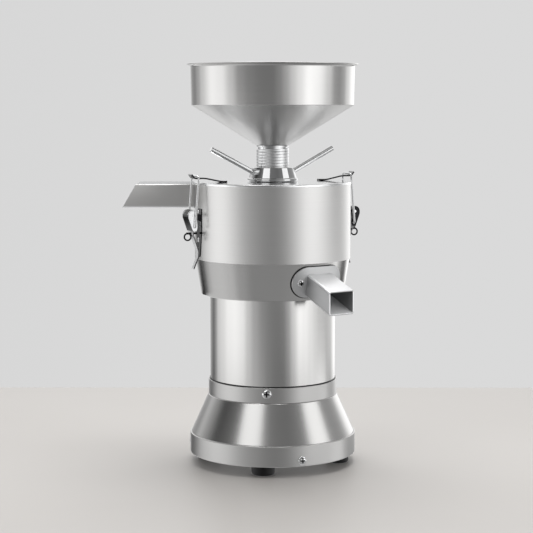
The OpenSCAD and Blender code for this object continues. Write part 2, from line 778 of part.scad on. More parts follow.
module pulp_chute() {
    s = chute_slant / chute_h;
    e = 20;
    color(steel) difference() {
        along_chute(-chute_reach - 5, -drum_r * 0.6) chute_outline(0);
        along_chute(-chute_reach - 10, 0) chute_outline(chute_t);
        translate([0, 0, chute_z0 - e]) cylinder(r = drum_r + 0.05, h = chute_h + 2 * e);
        rotate([90, 0, 0]) linear_extrude(4 * chute_w, center = true) polygon([
            [-chute_reach - e * s, chute_z0 - e], [-chute_reach + chute_slant + e * s, chute_z0 + chute_h + e],
            [-chute_reach - 90, chute_z0 + chute_h + e], [-chute_reach - 90, chute_z0 - e]]);
    }
}

module drum() {
    color(steel) difference() {
        tube(drum_in_r, drum_r, z_drum, z_rim);
        along_chute(-drum_r - 5, -drum_r * 0.5) chute_outline(chute_t);
        for (a = latch_at) rivet_spots(a) translate([0, 0, -8]) cylinder(r = rivet_r + 0.1, h = 12);
    }
}

module pulp_shelf() {
    r0 = basket_rim_r + shelf_gap;
    r1 = drum_in_r - slip;
    z0 = chute_z0 - 1.5;
    z1 = z0 + 3;
    color(steel) rotate_extrude() polygon([[r1, z0], [r1, z0 + 8], [r1 - 1.2, z0 + 8], [r1 - 1.2, z0 + 1.2],
        [r0 + 1.5, z1 + 1.5], [r0 + 1.5, z1 + 6], [r0, z1 + 6], [r0, z1]]);
}

module milk_spout() {
    color(steel) difference() {
        union() {
            intersection() {
                bowl_layer(pad_t, pad_t + flange_t);
                flange_blank();
            }
            difference() {
                spout_way(0);
                rotate_extrude() polygon([[0, z_bowl - 30], [bowl_r(z_bowl - 30) + pad_t, z_bowl - 30],
                    [bowl_r(z_drum + 30) + pad_t, z_drum + 30], [0, z_drum + 30]]);
                rotate([0, 0, spout_angle]) translate([spout_reach, -spout_w, spout_z - 40])
                    cube([40, 2 * spout_w, spout_h + 80]);
            }
        }
        spout_way(-spout_t);
        flange_spots(-6) cylinder(d = m5[0] + 2 * hole_gap, h = 14);
    }
}

module spout_gasket() {
    color(rubber) difference() {
        intersection() {
            bowl_layer(0.05, pad_t - 0.02);
            flange_blank();
        }
        spout_way(-spout_t);
        flange_spots(-6) cylinder(d = m5[0] + 2 * hole_gap, h = 12);
    }
}

module spout_screws() {
    color(bright) flange_spots(pad_t + flange_t + 0.1) pan_screw(m5, 12);
}

module lid() {
    e = lid_t / 2;
    color(bright) rotate_extrude() polygon(concat([[feed_r + 1, z_lid], [drum_r + slip, z_lid],
        [drum_r + slip, z_rim - 0.3], [lid_r, z_rim - 0.3]], arc([lid_r - e, z_lid_top - e], e, 0, 90, 4),
        [[feed_r + 1, z_lid_top]]));
}

module lid_gasket() {
    color(rubber) tube(drum_in_r - 3, drum_r - 0.2, z_rim, z_lid);
}

module lid_sleeve() {
    color(steel) {
        tube(sleeve_r, sleeve_r + 6, z_lid - sleeve_l, z_lid);
        intersection() {
            translate([-key_w / 2 + run, feed_r - key_in + gap, z_lid - sleeve_l]) cube([key_w - 2 * run, 4, sleeve_l]);
            tube(0, sleeve_r + 3, z_lid - sleeve_l, z_lid);
        }
    }
}

// Places children on the drum's face at a latch, with X outward
module at_latch(a) {
    rotate([0, 0, a]) translate([drum_r, 0, 0]) children();
}

module lid_catches() {
    y = z_lid_top + catch_t / 2;
    c = bail_top_out + 1;
    path = concat([[-40, y], [-30, y], [-6, z_seat], [c, z_seat]], arc([c, z_seat + 5], 5, -70, -25, 4),
        [[c + 6.6, z_seat + 5.2]]);
    color(bright) for (a = latch_at) at_latch(a) bent(path, catch_t, catch_w);
}

rivet_r = 1.5;
plate_w = 2 * (ear_in + ear_t + 0.3);
plate_up = 9;
plate_down = 58;
rivet_up = 3.5;
rivet_down = 34;
plate_foot_r = 6;

module rivet_spots(a) {
    for (z = [z_pivot + rivet_up, z_pivot - rivet_down]) outward(a, drum_r + base_plate_t, z) children();
}

// Plate as seen on the drum, with X upward and a rounded foot
module latch_plate_face() {
    hull() {
        translate([z_pivot - 20, -plate_w / 2]) square([plate_up + 20, plate_w]);
        translate([z_pivot - plate_down + plate_foot_r, 0]) circle(r = plate_foot_r);
    }
}

module latch_bases() {
    color(steel) for (a = latch_at) difference() {
        union() {
            intersection() {
                tube(drum_r + 0.05, drum_r + base_plate_t, z_pivot - plate_down, z_pivot + plate_up);
                at_latch(a) translate([20, 0, 0]) rotate([0, -90, 0]) linear_extrude(40) latch_plate_face();
            }
            for (s = [-1, 1]) at_latch(a) upright(s > 0 ? ear_in : -ear_in - ear_t, s > 0 ? ear_in + ear_t : -ear_in) {
                translate([pivot_out, z_pivot]) circle(r = ear_r);
                polygon([[0.6, z_pivot - 9], [pivot_out - 1, z_pivot - ear_r], [pivot_out, z_pivot + ear_r],
                    [0.6, z_pivot + 1]]);
            }
        }
        at_latch(a) translate([pivot_out, 30, z_pivot]) rotate([90, 0, 0]) cylinder(d = pin_d + 0.04, h = 60);
        rivet_spots(a) translate([0, 0, -8]) cylinder(r = rivet_r + 0.1, h = 12);
    }
}

module latch_rivets() {
    color(bright) for (a = latch_at) rivet_spots(a) rotate_extrude() polygon([[0, -base_plate_t - drum_t],
        [rivet_r, -base_plate_t - drum_t], [rivet_r, 0], [3, 0], [2.7, 0.7], [1.6, 1.2], [0, 1.3]]);
}

module latch_pins() {
    color(bright) for (a = latch_at) at_latch(a) translate([pivot_out, lever_w / 2 + 0.2, z_pivot]) rotate([90, 0, 0])
        cylinder(d = pin_d, h = lever_w + 0.4);
}

// Lever as seen from outside, with X upward: wide at the knuckle, narrow below the bail
module lever_face_plan() {
    neck = z_bail - 5;
    polygon([for (s = [1, -1]) each let (half = [[z_pivot + 20, lever_w / 2], [neck, lever_w / 2],
        [neck - 5, lever_neck_w / 2], [lever_tip[1] - 3, lever_end_w / 2]])
        s > 0 ? half : [for (i = [3 : -1 : 0]) [half[i][0], -half[i][1]]]]);
}

module lever(a) {
    p = [pivot_out, z_pivot];
    path = concat(arc(p, knuckle_r, 115, 0, 6), [[pivot_out + knuckle_r, z_pivot - 3], lever_foot,
        [lever_foot[0] + 0.4, lever_foot[1] - 8], lever_tip]);
    back = lever_foot[0] + (z_bail - 5 - lever_foot[1]) * lever_slope;
    color(steel) at_latch(a) difference() {
        union() {
            intersection() {
                bent(path, lever_t, lever_w);
                translate([60, 0, 0]) rotate([0, -90, 0]) linear_extrude(80) lever_face_plan();
            }
            for (s = [-1, 1]) upright(s > 0 ? cheek_in : -lever_w / 2, s > 0 ? lever_w / 2 : -cheek_in)
                polygon(concat(arc(p, knuckle_r, 115, 0, 6), [[pivot_out + knuckle_r, z_pivot - 3], [back, z_bail - 5],
                    [bail_out - 3, z_bail - 5], [bail_out - 4, z_bail], [pivot_out - ear_r, z_pivot - 5]]));
        }
        for (s = [-1, 1]) upright(s > 0 ? ear_in - gap : -cheek_in, s > 0 ? cheek_in : gap - ear_in)
            translate([pivot_out - 20, z_pivot + 1]) square([40, 20]);
        translate([pivot_out, 30, z_pivot]) rotate([90, 0, 0]) cylinder(d = pin_d + 2 * run, h = 60);
        translate([bail_out, 30, z_bail]) rotate([90, 0, 0]) cylinder(d = wire_d + 2 * run, h = 60);
        translate([0, 0, z_ring_pin]) rotate([0, 90, 0]) cylinder(r = ring_pin_r + run, h = 40);
    }
}

module bail(a) {
    h = bail_w / 2;
    k = h - bail_corner;
    inner = cheek_in - 0.7;
    color(bright) at_latch(a) translate([bail_out, 0, z_bail]) rotate([0, -bail_tilt, 0]) {
        for (m = [0, 1]) mirror([0, m, 0]) {
            translate([0, h, 0]) cylinder(d = wire_d, h = bail_l - bail_corner);
            translate([0, h, 0]) sphere(d = wire_d);
            translate([0, inner, 0]) rotate([-90, 0, 0]) cylinder(d = wire_d, h = h - inner);
            translate([0, k, bail_l - bail_corner]) bail_turn();
        }
        translate([0, -k, bail_l]) rotate([-90, 0, 0]) cylinder(d = wire_d, h = 2 * k);
    }
}

// Quarter turn of wire from +Y to +Z
module bail_turn() {
    rotate([90, 0, 90]) rotate_extrude(angle = 90) translate([bail_corner, 0]) circle(d = wire_d);
}

module ring_pin(a) {
    tip = base_plate_t + 2.4;
    color(bright) at_latch(a) {
        translate([tip, 0, z_ring_pin]) rotate([0, 90, 0]) cylinder(r = ring_pin_r, h = ring_out - tip + 1.6);
        translate([ring_out, 0, z_ring]) rotate([90, 0, 0]) rotate_extrude()
            translate([ring_d / 2 - ring_wire_d / 2, 0]) circle(d = ring_wire_d);
    }
}

module left_lever() {
    lever(latch_at[0]);
}

module right_lever() {
    lever(latch_at[1]);
}

module left_bail() {
    bail(latch_at[0]);
}

module right_bail() {
    bail(latch_at[1]);
}

module left_ring_pin() {
    ring_pin(latch_at[0]);
}

module right_ring_pin() {
    ring_pin(latch_at[1]);
}

module motor_shaft() {
    color(bright) rotate_extrude() polygon([[0, z_fan - 4], [fan_seat_r, z_fan - 4],
        [fan_seat_r, z_low_bearing - 8], [seat_r, z_low_bearing - 8], [seat_r, z_low_bearing + bearing_w],
        [shaft_r, z_low_bearing + bearing_w + 3], [shaft_r, z_up_bearing - 3], [seat_r, z_up_bearing],
        [seat_r, z_stone - 11], [hub_seat_r, z_stone - 11], [hub_seat_r, z_stone + 4], [stud_r, z_stone + 4],
        [stud_r, z_stone_top + 6], [0, z_stone_top + 6]]);
}

module rotor_core() {
    color(iron) tube(shaft_r + 0.02, rotor_r, z_stator, z_stator + stator_h);
}

module rotor_end_rings() {
    color([0.78, 0.79, 0.8]) for (z = [z_stator - 8, z_stator + stator_h]) tube(rotor_r - 22, rotor_r - 1.5, z, z + 8);
}

module cooling_fan() {
    color(dark) difference() {
        union() {
            tube(0, fan_hub_r, z_fan, z_fan + fan_h + 2);
            tube(fan_hub_r - 1, fan_d / 2, z_fan + fan_h, z_fan + fan_h + 2);
            for (i = [0 : blade_n - 1]) rotate([0, 0, 360 / blade_n * i]) translate([fan_hub_r - 1, -1, z_fan])
                cube([fan_d / 2 - fan_hub_r - 2, 2, fan_h + 1]);
        }
        translate([0, 0, z_fan - 1]) cylinder(r = fan_seat_r + 0.03, h = fan_h + 4);
    }
}

module filter_basket() {
    z0 = z_stone - plate_t;
    z1 = z_basket - rim_h;
    n = window_n;
    color(steel) difference() {
        rotate_extrude() polygon([[hub_seat_r + 0.02, z_stone - 11], [hub_r, z_stone - 11], [hub_r, z0],
            [basket_floor_r + basket_t, z0], [basket_wall_r + basket_t, z1], [basket_rim_r, z1],
            [basket_rim_r, z_basket], [basket_wall_r, z_basket], [basket_wall_r, z1],
            [basket_in(z_stone), z_stone], [hub_r, z_stone], [hub_r, z_stone + 3], [hub_seat_r + 0.02, z_stone + 3]]);
        for (i = [0 : n - 1]) rotate([0, 0, 360 / n * (i + 0.5)]) translate([basket_floor_r - 10, -10, z_stone + 8])
            cube([60, 20, z1 - z_stone - 18]);
    }
}

module filter_screen() {
    z0 = z_stone + 1;
    z1 = z_basket - rim_h - 1;
    o = 0.15;
    color([0.8, 0.81, 0.82]) rotate_extrude() polygon([[basket_in(z0) - o - screen_t, z0], [basket_in(z0) - o, z0],
        [basket_in(z1) - o, z1], [basket_in(z1) - o - screen_t, z1]]);
}

module lower_stone() {
    color(stone) difference() {
        tube(hub_r + 0.1, stone_r, z_stone, z_stone_top);
        translate([0, 0, z_stone_top - 6]) cylinder(r = hub_r + 6, h = 10);
        for (i = [0 : 11]) rotate([0, 0, 30 * i]) translate([hub_r + 8, 0, z_stone_top - 1]) rotate([0, 0, 20])
            translate([0, -1.5, 0]) cube([stone_r, 3, 4]);
    }
}

module stone_nut() {
    z0 = z_stone_top - 6;
    color(bright) difference() {
        union() {
            tube(0, hub_r + 5.5, z0, z0 + 2.5);
            translate([0, 0, z0 + 2]) cylinder(r = 10, h = 8, $fn = 6);
        }
        translate([0, 0, z0 - 1]) cylinder(r = stud_r + 0.05, h = 14);
    }
}

module feed_tube() {
    color(bright) difference() {
        rotate_extrude() polygon([[feed_bore_r, z_holder], [feed_r, z_holder], [feed_r, z_thread - 1],
            [root_r, z_thread - 1], [root_r, z_hopper - 2], [cone_foot_r - 0.6, z_hopper - 2],
            [cone_foot_r, z_hopper - 1.4], [cone_foot_r, z_hopper], [feed_bore_r, z_hopper]]);
        translate([-key_w / 2, feed_r - key_in, z_lid - sleeve_l - 8]) cube([key_w, 8, sleeve_l + 8]);
    }
}

// Helical ridge wound round the tube, one closed strip of four sides
module feed_thread() {
    n = 24;
    steps = floor(thread_turns * n);
    r0 = (root_r + 0.03) / cos(180 / n);
    foot = thread_pitch * 0.84;
    crest = thread_pitch * 0.22;
    ring = [[r0, -foot / 2], [crest_r, -crest / 2], [crest_r, crest / 2], [r0, foot / 2]];
    points = [for (i = [0 : steps]) for (p = ring) [p[0] * cos(i * 360 / n), p[0] * sin(i * 360 / n),
        p[1] + z_thread + foot / 2 + thread_pitch * i / n]];
    sides = [for (i = [0 : steps - 1]) for (j = [0 : 3]) for (t = [0, 1])
        let (a = 4 * i + j, b = 4 * i + (j + 1) % 4) t == 0 ? [a, a + 4, b] : [b, a + 4, b + 4]];
    ends = [[0, 1, 2], [0, 2, 3], [4 * steps + 2, 4 * steps + 1, 4 * steps], [4 * steps + 3, 4 * steps + 2, 4 * steps]];
    color(bright) polyhedron(points, concat(sides, ends));
}

module holder_spots(z) {
    for (i = [0 : 2]) rotate([0, 0, 120 * i + 30]) translate([(holder_hub_r + stone_r) / 2, 0, z]) children();
}

module stone_holder() {
    color(steel) difference() {
        union() {
            tube(feed_r + 0.05, holder_hub_r, z_holder, z_holder + 16);
            tube(feed_r + 0.05, stone_r + 2, z_holder, z_holder + holder_t);
        }
        holder_spots(z_holder - 1) cylinder(d = m5[0] + 2 * hole_gap, h = holder_t + 2);
    }
}

module upper_stone() {
    color(stone) difference() {
        tube(stone_hole_d / 2, stone_r, z_upper, z_holder);
        holder_spots(z_holder - 9) cylinder(d = m5[0] + 0.2, h = 12);
        for (i = [0 : 11]) rotate([0, 0, 30 * i + 15]) translate([stone_hole_d / 2 + 6, 0, z_upper - 3]) rotate([0, 0, -20])
            translate([0, -1.5, 0]) cube([stone_r, 3, 4]);
    }
}

module holder_screws() {
    color(bright) holder_spots(z_holder + holder_t) pan_screw(m5, holder_t + 8);
}

rod_root = [nut_d / 2 - 3.6, z_nut + nut_h * 0.7];

// Places a handle rod's axis, with Z along the rod
module along_rod(a) {
    rotate([0, 0, a]) translate([rod_root[0], 0, rod_root[1]]) rotate([0, 90 - rod_rise, 0]) children();
}

module adjusting_nut() {
    f = nut_flange_h / 2;
    color(bright) difference() {
        rotate_extrude() polygon(concat([[nut_bore_r, z_nut], [nut_d / 2 - f, z_nut]],
            arc([nut_d / 2 - f, z_nut + f], f, -70, 70, 6),
            [[nut_d / 2 - f, z_nut + nut_flange_h], [nut_d / 2 - f + 0.5, z_nut + nut_flange_h + 0.2],
            [nut_top_d / 2 + 0.6, z_nut_top - 1.2], [nut_top_d / 2 - 0.6, z_nut_top], [nut_bore_r, z_nut_top]]));
        for (a = latch_at) along_rod(a) translate([0, 0, -5]) cylinder(d = rod_d + 0.1, h = 40);
    }
}

module nut_handles() {
    l = (rod_reach - rod_root[0]) / cos(rod_rise);
    color(bright) for (a = latch_at) along_rod(a) rotate_extrude() polygon([[0, -4], [rod_d / 2 - 0.6, -4],
        [rod_d / 2, -3.4], [rod_d / 2, l - 0.8], [rod_d / 2 - 0.8, l], [0, l]]);
}

module hopper() {
    z0 = z_hopper + slip;
    lift = hopper_t / cos(atan(hopper_cone_h / (hopper_r - cone_foot_r)));
    color(steel) rotate_extrude() polygon([[spigot_r, z0 - spigot_l], [spigot_r, z0], [cone_foot_r, z0],
        [hopper_r, z_seam], [hopper_top_r, z_top - 3.2], [hopper_top_r + 1.2, z_top - 2.2], [rim_r, z_top - 1.3],
        [rim_r, z_top - 0.2], [rim_r - 0.3, z_top], [hopper_top_r, z_top - 1], [hopper_top_r - hopper_t, z_top - 2.6],
        [hopper_r - hopper_t, z_seam + hopper_t * 0.4], [cone_foot_r, z0 + lift],
        [spigot_r - hopper_t, z0 + hopper_t * 0.6], [spigot_r - hopper_t, z0 - spigot_l]]);
}

feet();
foot_screws();
base_pan();
base_ring();
base_ring_screws();
base_cone();
collar();
collar_screws();
motor_housing();
lower_end_bell();
upper_end_bell();
stator_core();
stator_windings();
lower_bearing_outer();
upper_bearing_outer();
run_capacitor();
capacitor_clip();
cable_gland();
switch_frame();
switch_rocker();
milk_bowl();
shaft_seal();
bowl_bolts();
drum();
pulp_shelf();
pulp_chute();
milk_spout();
spout_gasket();
spout_screws();
lid();
lid_gasket();
lid_sleeve();
lid_catches();
latch_bases();
latch_rivets();
latch_pins();
left_lever();
right_lever();
left_bail();
right_bail();
left_ring_pin();
right_ring_pin();
motor_shaft();
rotor_core();
rotor_end_rings();
lower_bearing_inner();
upper_bearing_inner();
cooling_fan();
filter_basket();
filter_screen();
lower_stone();
stone_nut();
feed_tube();
feed_thread();
stone_holder();
upper_stone();
holder_screws();
adjusting_nut();
nut_handles();
hopper();
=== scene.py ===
from math import asin, atan2, cos, degrees, hypot, pi, radians, sin, sqrt, tan

import bmesh
import bpy
from mathutils import Matrix, Vector


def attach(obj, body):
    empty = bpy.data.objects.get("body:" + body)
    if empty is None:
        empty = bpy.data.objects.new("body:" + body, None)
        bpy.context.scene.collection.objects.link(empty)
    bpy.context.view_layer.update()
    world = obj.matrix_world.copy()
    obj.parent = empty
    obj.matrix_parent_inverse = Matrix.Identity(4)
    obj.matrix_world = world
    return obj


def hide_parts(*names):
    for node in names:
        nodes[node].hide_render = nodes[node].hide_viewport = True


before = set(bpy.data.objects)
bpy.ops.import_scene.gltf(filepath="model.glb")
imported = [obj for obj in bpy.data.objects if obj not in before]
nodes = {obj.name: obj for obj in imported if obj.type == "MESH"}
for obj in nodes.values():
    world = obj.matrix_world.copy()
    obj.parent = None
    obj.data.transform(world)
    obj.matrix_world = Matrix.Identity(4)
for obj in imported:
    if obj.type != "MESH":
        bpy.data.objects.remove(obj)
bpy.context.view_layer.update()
scene = bpy.context.scene
scene.view_settings.view_transform = "Standard"
mm = 0.001
print("frame loaded,", len(nodes), "nodes")

# camera
shot = {"place": (0, -2.173, 0.4977), "pitch": 5.91, "yaw": 0.226, "focalPx": 1570, "framePx": 533, "sensor": 36,
        "clipEnd": 50}
cameraData = bpy.data.cameras.new("shot")
cameraData.sensor_width = shot["sensor"]
cameraData.lens = shot["sensor"] * shot["focalPx"] / shot["framePx"]
cameraData.clip_end = shot["clipEnd"]
camera = bpy.data.objects.new("shot", cameraData)
camera.location = shot["place"]
camera.rotation_euler = (radians(90 - shot["pitch"]), 0, radians(shot["yaw"]))
scene.collection.objects.link(camera)
scene.camera = camera
print("camera set")


def groupSockets(group, inputs, outputs):
    for kind, name, value in inputs:
        socket = group.interface.new_socket(name, in_out="INPUT", socket_type="NodeSocket" + kind)
        if value is not None:
            socket.default_value = value
    for kind, name in outputs:
        group.interface.new_socket(name, in_out="OUTPUT", socket_type="NodeSocket" + kind)
    return group.nodes.new("NodeGroupInput"), group.nodes.new("NodeGroupOutput")


def feed(tree, value, socket):
    # a link where the value comes from a node, a plain number otherwise
    if hasattr(value, "is_linked"):
        tree.links.new(value, socket)
    else:
        socket.default_value = value


def mathNode(tree, kind, a, b=None):
    node = tree.nodes.new("ShaderNodeMath")
    node.operation = kind
    feed(tree, a, node.inputs[0])
    if b is not None:
        feed(tree, b, node.inputs[1])
    return node.outputs[0]


def noiseNode(tree, vector, scale, detail, rough):
    node = tree.nodes.new("ShaderNodeTexNoise")
    node.inputs["Detail"].default_value = detail
    node.inputs["Roughness"].default_value = rough
    feed(tree, scale, node.inputs["Scale"])
    tree.links.new(vector, node.inputs["Vector"])
    return node.outputs["Fac"]


brushSet = {"lines": 900.0, "clouds": 14.0, "fineDetail": 5.0, "fineRough": 0.7, "cloudDetail": 3.0, "cloudRough": 0.5,
            "roundSpread": 0.5, "sheetSpread": 12.0, "axisGap": 0.001, "fineShare": 0.65, "cloudShare": 0.35,
            "bumpDeep": 0.00004, "stretchTurn": 0.25}
noiseSpan = (0.3, 0.7)  # the part of the noise that is spread from one end to the other


def brushGroup(name, route):
    # fine lines along a route over the piece, and slow clouding
    tree = bpy.data.node_groups.new(name, "ShaderNodeTree")
    inp, out = groupSockets(tree, [("Vector", "Vector", None), ("Float", "Lines", brushSet["lines"]),
                                   ("Float", "Clouds", brushSet["clouds"])], [("Float", "Fine"), ("Float", "Cloud")])
    split = tree.nodes.new("ShaderNodeSeparateXYZ")
    join = tree.nodes.new("ShaderNodeCombineXYZ")
    tree.links.new(inp.outputs["Vector"], split.inputs[0])
    for socket, value in zip(join.inputs, route(tree, *split.outputs, inp.outputs["Lines"])):
        tree.links.new(value, socket)
    fine = noiseNode(tree, join.outputs[0], 1.0, brushSet["fineDetail"], brushSet["fineRough"])
    cloud = noiseNode(tree, inp.outputs["Vector"], inp.outputs["Clouds"], brushSet["cloudDetail"],
                      brushSet["cloudRough"])
    tree.links.new(fine, out.inputs["Fine"])
    tree.links.new(cloud, out.inputs["Cloud"])
    return tree


def roundRoute(tree, x, y, z, lines):
    # lines that run round the axis
    squares = [mathNode(tree, "MULTIPLY", v, v) for v in (x, y)]
    reach = mathNode(tree, "SQRT", mathNode(tree, "ADD", *squares))
    safe = mathNode(tree, "MAXIMUM", reach, brushSet["axisGap"])
    around = [mathNode(tree, "MULTIPLY", mathNode(tree, "DIVIDE", v, safe), brushSet["roundSpread"]) for v in (x, y)]
    return around + [mathNode(tree, "MULTIPLY", mathNode(tree, "ADD", z, reach), lines)]


def sheetRoute(tree, x, y, z, lines):
    # lines along X, for flat sheet
    return [mathNode(tree, "MULTIPLY", v, by) for v, by in ((x, brushSet["sheetSpread"]), (y, lines), (z, lines))]


turnedBrush = brushGroup("turnedBrush", roundRoute)
straightBrush = brushGroup("straightBrush", sheetRoute)


def mixValue(tree, fac, low, high):
    # noise turned to a value between low and high
    node = tree.nodes.new("ShaderNodeMapRange")
    node.inputs["From Min"].default_value, node.inputs["From Max"].default_value = noiseSpan
    node.inputs["To Min"].default_value = low
    node.inputs["To Max"].default_value = high
    tree.links.new(fac, node.inputs["Value"])
    return node.outputs[0]


def mixTone(tree, fac, low, high):
    node = tree.nodes.new("ShaderNodeMix")
    node.data_type = "RGBA"
    node.inputs[6].default_value = (*low, 1)
    node.inputs[7].default_value = (*high, 1)
    tree.links.new(fac, node.inputs[0])
    return node.outputs[2]


def metalFinish(name, spec):
    mat = bpy.data.materials.new(name)
    mat.use_nodes = True
    tree = mat.node_tree
    shader = tree.nodes["Principled BSDF"]
    shader.inputs["Metallic"].default_value = 1.0
    coords = tree.nodes.new("ShaderNodeTexCoord")
    turn = tree.nodes.new("ShaderNodeMapping")
    turn.inputs["Rotation"].default_value = spec.get("turn", (0, 0, 0))
    tree.links.new(coords.outputs["Object"], turn.inputs["Vector"])
    brush = tree.nodes.new("ShaderNodeGroup")
    brush.node_tree = spec["brush"]
    brush.inputs["Lines"].default_value = spec["lines"]
    brush.inputs["Clouds"].default_value = spec["clouds"]
    tree.links.new(turn.outputs[0], brush.inputs["Vector"])
    both = mathNode(tree, "ADD", mathNode(tree, "MULTIPLY", brush.outputs["Fine"], brushSet["fineShare"]),
                    mathNode(tree, "MULTIPLY", brush.outputs["Cloud"], brushSet["cloudShare"]))
    tree.links.new(mixTone(tree, mixValue(tree, both, 0, 1), spec["dark"], spec["light"]), shader.inputs["Base Color"])
    tree.links.new(mixValue(tree, both, *spec["rough"]), shader.inputs["Roughness"])
    if spec.get("bump"):
        bump = tree.nodes.new("ShaderNodeBump")
        bump.inputs["Strength"].default_value = spec["bump"]
        bump.inputs["Distance"].default_value = brushSet["bumpDeep"]
        tree.links.new(brush.outputs["Fine"], bump.inputs["Height"])
        tree.links.new(bump.outputs[0], shader.inputs["Normal"])
    if spec.get("stretch"):
        tangent = tree.nodes.new("ShaderNodeTangent")
        tangent.direction_type = "RADIAL"
        tangent.axis = "Z"
        tree.links.new(tangent.outputs[0], shader.inputs["Tangent"])
        shader.inputs["Anisotropic"].default_value = spec["stretch"]
        shader.inputs["Anisotropic Rotation"].default_value = brushSet["stretchTurn"]
    return mat


bodySteel = metalFinish("bodySteel", {
    "brush": turnedBrush, "lines": 2200.0, "clouds": 9.0, "rough": (0.13, 0.18), "bump": 0.03, "stretch": 0.5,
    "dark": (0.635, 0.63, 0.622), "light": (0.675, 0.67, 0.662)})
coneSteel = metalFinish("coneSteel", {
    "brush": turnedBrush, "lines": 2200.0, "clouds": 9.0, "rough": (0.22, 0.26), "bump": 0.05,
    "dark": (0.64, 0.635, 0.626), "light": (0.68, 0.675, 0.666)})
bandSteel = metalFinish("bandSteel", {
    "brush": turnedBrush, "lines": 2400.0, "clouds": 9.0, "rough": (0.27, 0.32), "bump": 0.05, "stretch": 0.5,
    "dark": (0.58, 0.575, 0.567), "light": (0.62, 0.615, 0.607)})
satinSteel = metalFinish("satinSteel", {
    "brush": turnedBrush, "lines": 2200.0, "clouds": 9.0, "rough": (0.29, 0.34), "bump": 0.05,
    "dark": (0.705, 0.70, 0.692), "light": (0.755, 0.75, 0.742)})
funnelSteel = metalFinish("funnelSteel", {
    "brush": turnedBrush, "lines": 2200.0, "clouds": 9.0, "rough": (0.3, 0.35), "bump": 0.05,
    "dark": (0.60, 0.596, 0.59), "light": (0.65, 0.646, 0.64)})
sheetSteel = metalFinish("sheetSteel", {
    "brush": straightBrush, "lines": 2200.0, "clouds": 12.0, "rough": (0.42, 0.5), "bump": 0.06,
    "dark": (0.645, 0.64, 0.63), "light": (0.69, 0.685, 0.675)})
latchSteel = metalFinish("latchSteel", {
    "brush": straightBrush, "lines": 1800.0, "clouds": 50.0, "rough": (0.07, 0.13), "bump": 0.04,
    "dark": (0.64, 0.645, 0.65), "light": (0.72, 0.725, 0.73)})
# dark steel for the latch parts; its darkness is partly the steel's own and partly a painted dark reflection
darkChromeAndPaintedReflection = metalFinish("darkChromeAndPaintedReflection", {
    "brush": straightBrush, "lines": 1800.0, "clouds": 50.0, "rough": (0.08, 0.16), "bump": 0.04,
    "dark": (0.18, 0.18, 0.182), "light": (0.24, 0.24, 0.243)})
# black oxide for the ring pins; also painted shade in the screw slots, on the right lever's cheeks and along the latch
# cut edges
blackPinAndPaintedShade = metalFinish("blackPinAndPaintedShade", {
    "brush": straightBrush, "lines": 1800.0, "clouds": 80.0, "rough": (0.2, 0.3), "bump": 0.05,
    "dark": (0.012, 0.012, 0.013), "light": (0.03, 0.03, 0.032)})
# painted shade: the spout's sides, darker than its top
spoutShadedSideSteel = metalFinish("spoutShadedSideSteel", {
    "brush": straightBrush, "lines": 2200.0, "clouds": 20.0, "rough": (0.42, 0.5), "bump": 0.06, "turn": (0, 0, 0.93),
    "dark": (0.47, 0.473, 0.477), "light": (0.53, 0.533, 0.537)})
flangeSteel = metalFinish("flangeSteel", {
    "brush": straightBrush, "lines": 2200.0, "clouds": 20.0, "rough": (0.36, 0.44), "bump": 0.05, "turn": (0, 0, 0.93),
    "dark": (0.66, 0.663, 0.667), "light": (0.72, 0.723, 0.727)})
# painted highlight for rounded edges, the chute's lower corners and the left lever's tail
paintedHighlightSteel = metalFinish("paintedHighlightSteel", {
    "brush": straightBrush, "lines": 2000.0, "clouds": 30.0, "rough": (0.48, 0.56), "bump": 0.05, "turn": (0, 0, 0.93),
    "dark": (0.89, 0.895, 0.9), "light": (0.95, 0.955, 0.96)})
# painted light: the spout's top, lighter than its sides
paintedLitTopSteel = metalFinish("paintedLitTopSteel", {
    "brush": straightBrush, "lines": 2000.0, "clouds": 30.0, "rough": (0.42, 0.5), "bump": 0.05, "turn": (0, 0, 0.93),
    "dark": (0.76, 0.763, 0.767), "light": (0.82, 0.823, 0.827)})
# painted light on the floor inside the spout
paintedLightSteel = metalFinish("paintedLightSteel", {
    "brush": straightBrush, "lines": 900.0, "clouds": 40.0, "rough": (0.9, 1.0), "bump": 0.05,
    "dark": (0.9, 0.903, 0.907), "light": (0.96, 0.963, 0.967)})
# painted shade inside the spout and on the chute's top and floor
paintedShadeSteel = metalFinish("paintedShadeSteel", {
    "brush": straightBrush, "lines": 900.0, "clouds": 40.0, "rough": (0.6, 0.7), "bump": 0.1,
    "dark": (0.36, 0.363, 0.367), "light": (0.44, 0.443, 0.447)})
polishedSteel = metalFinish("polishedSteel", {
    "brush": turnedBrush, "lines": 1500.0, "clouds": 25.0, "rough": (0.03, 0.07), "bump": 0.03,
    "dark": (0.70, 0.705, 0.71), "light": (0.78, 0.785, 0.79)})
lidChrome = metalFinish("lidChrome", {
    "brush": turnedBrush, "lines": 1500.0, "clouds": 25.0, "rough": (0.08, 0.11),
    "dark": (0.88, 0.885, 0.89), "light": (0.94, 0.945, 0.95)})
nutChrome = metalFinish("nutChrome", {
    "brush": turnedBrush, "lines": 1500.0, "clouds": 25.0, "rough": (0.05, 0.07),
    "dark": (0.62, 0.623, 0.627), "light": (0.7, 0.703, 0.707)})
nutSteel = metalFinish("nutSteel", {
    "brush": turnedBrush, "lines": 1500.0, "clouds": 25.0, "rough": (0.19, 0.25), "bump": 0.03,
    "dark": (0.84, 0.845, 0.85), "light": (0.91, 0.915, 0.92)})
threadSteel = metalFinish("threadSteel", {
    "brush": turnedBrush, "lines": 2600.0, "clouds": 35.0, "rough": (0.26, 0.34), "bump": 0.08,
    "dark": (0.78, 0.785, 0.79), "light": (0.88, 0.885, 0.89)})
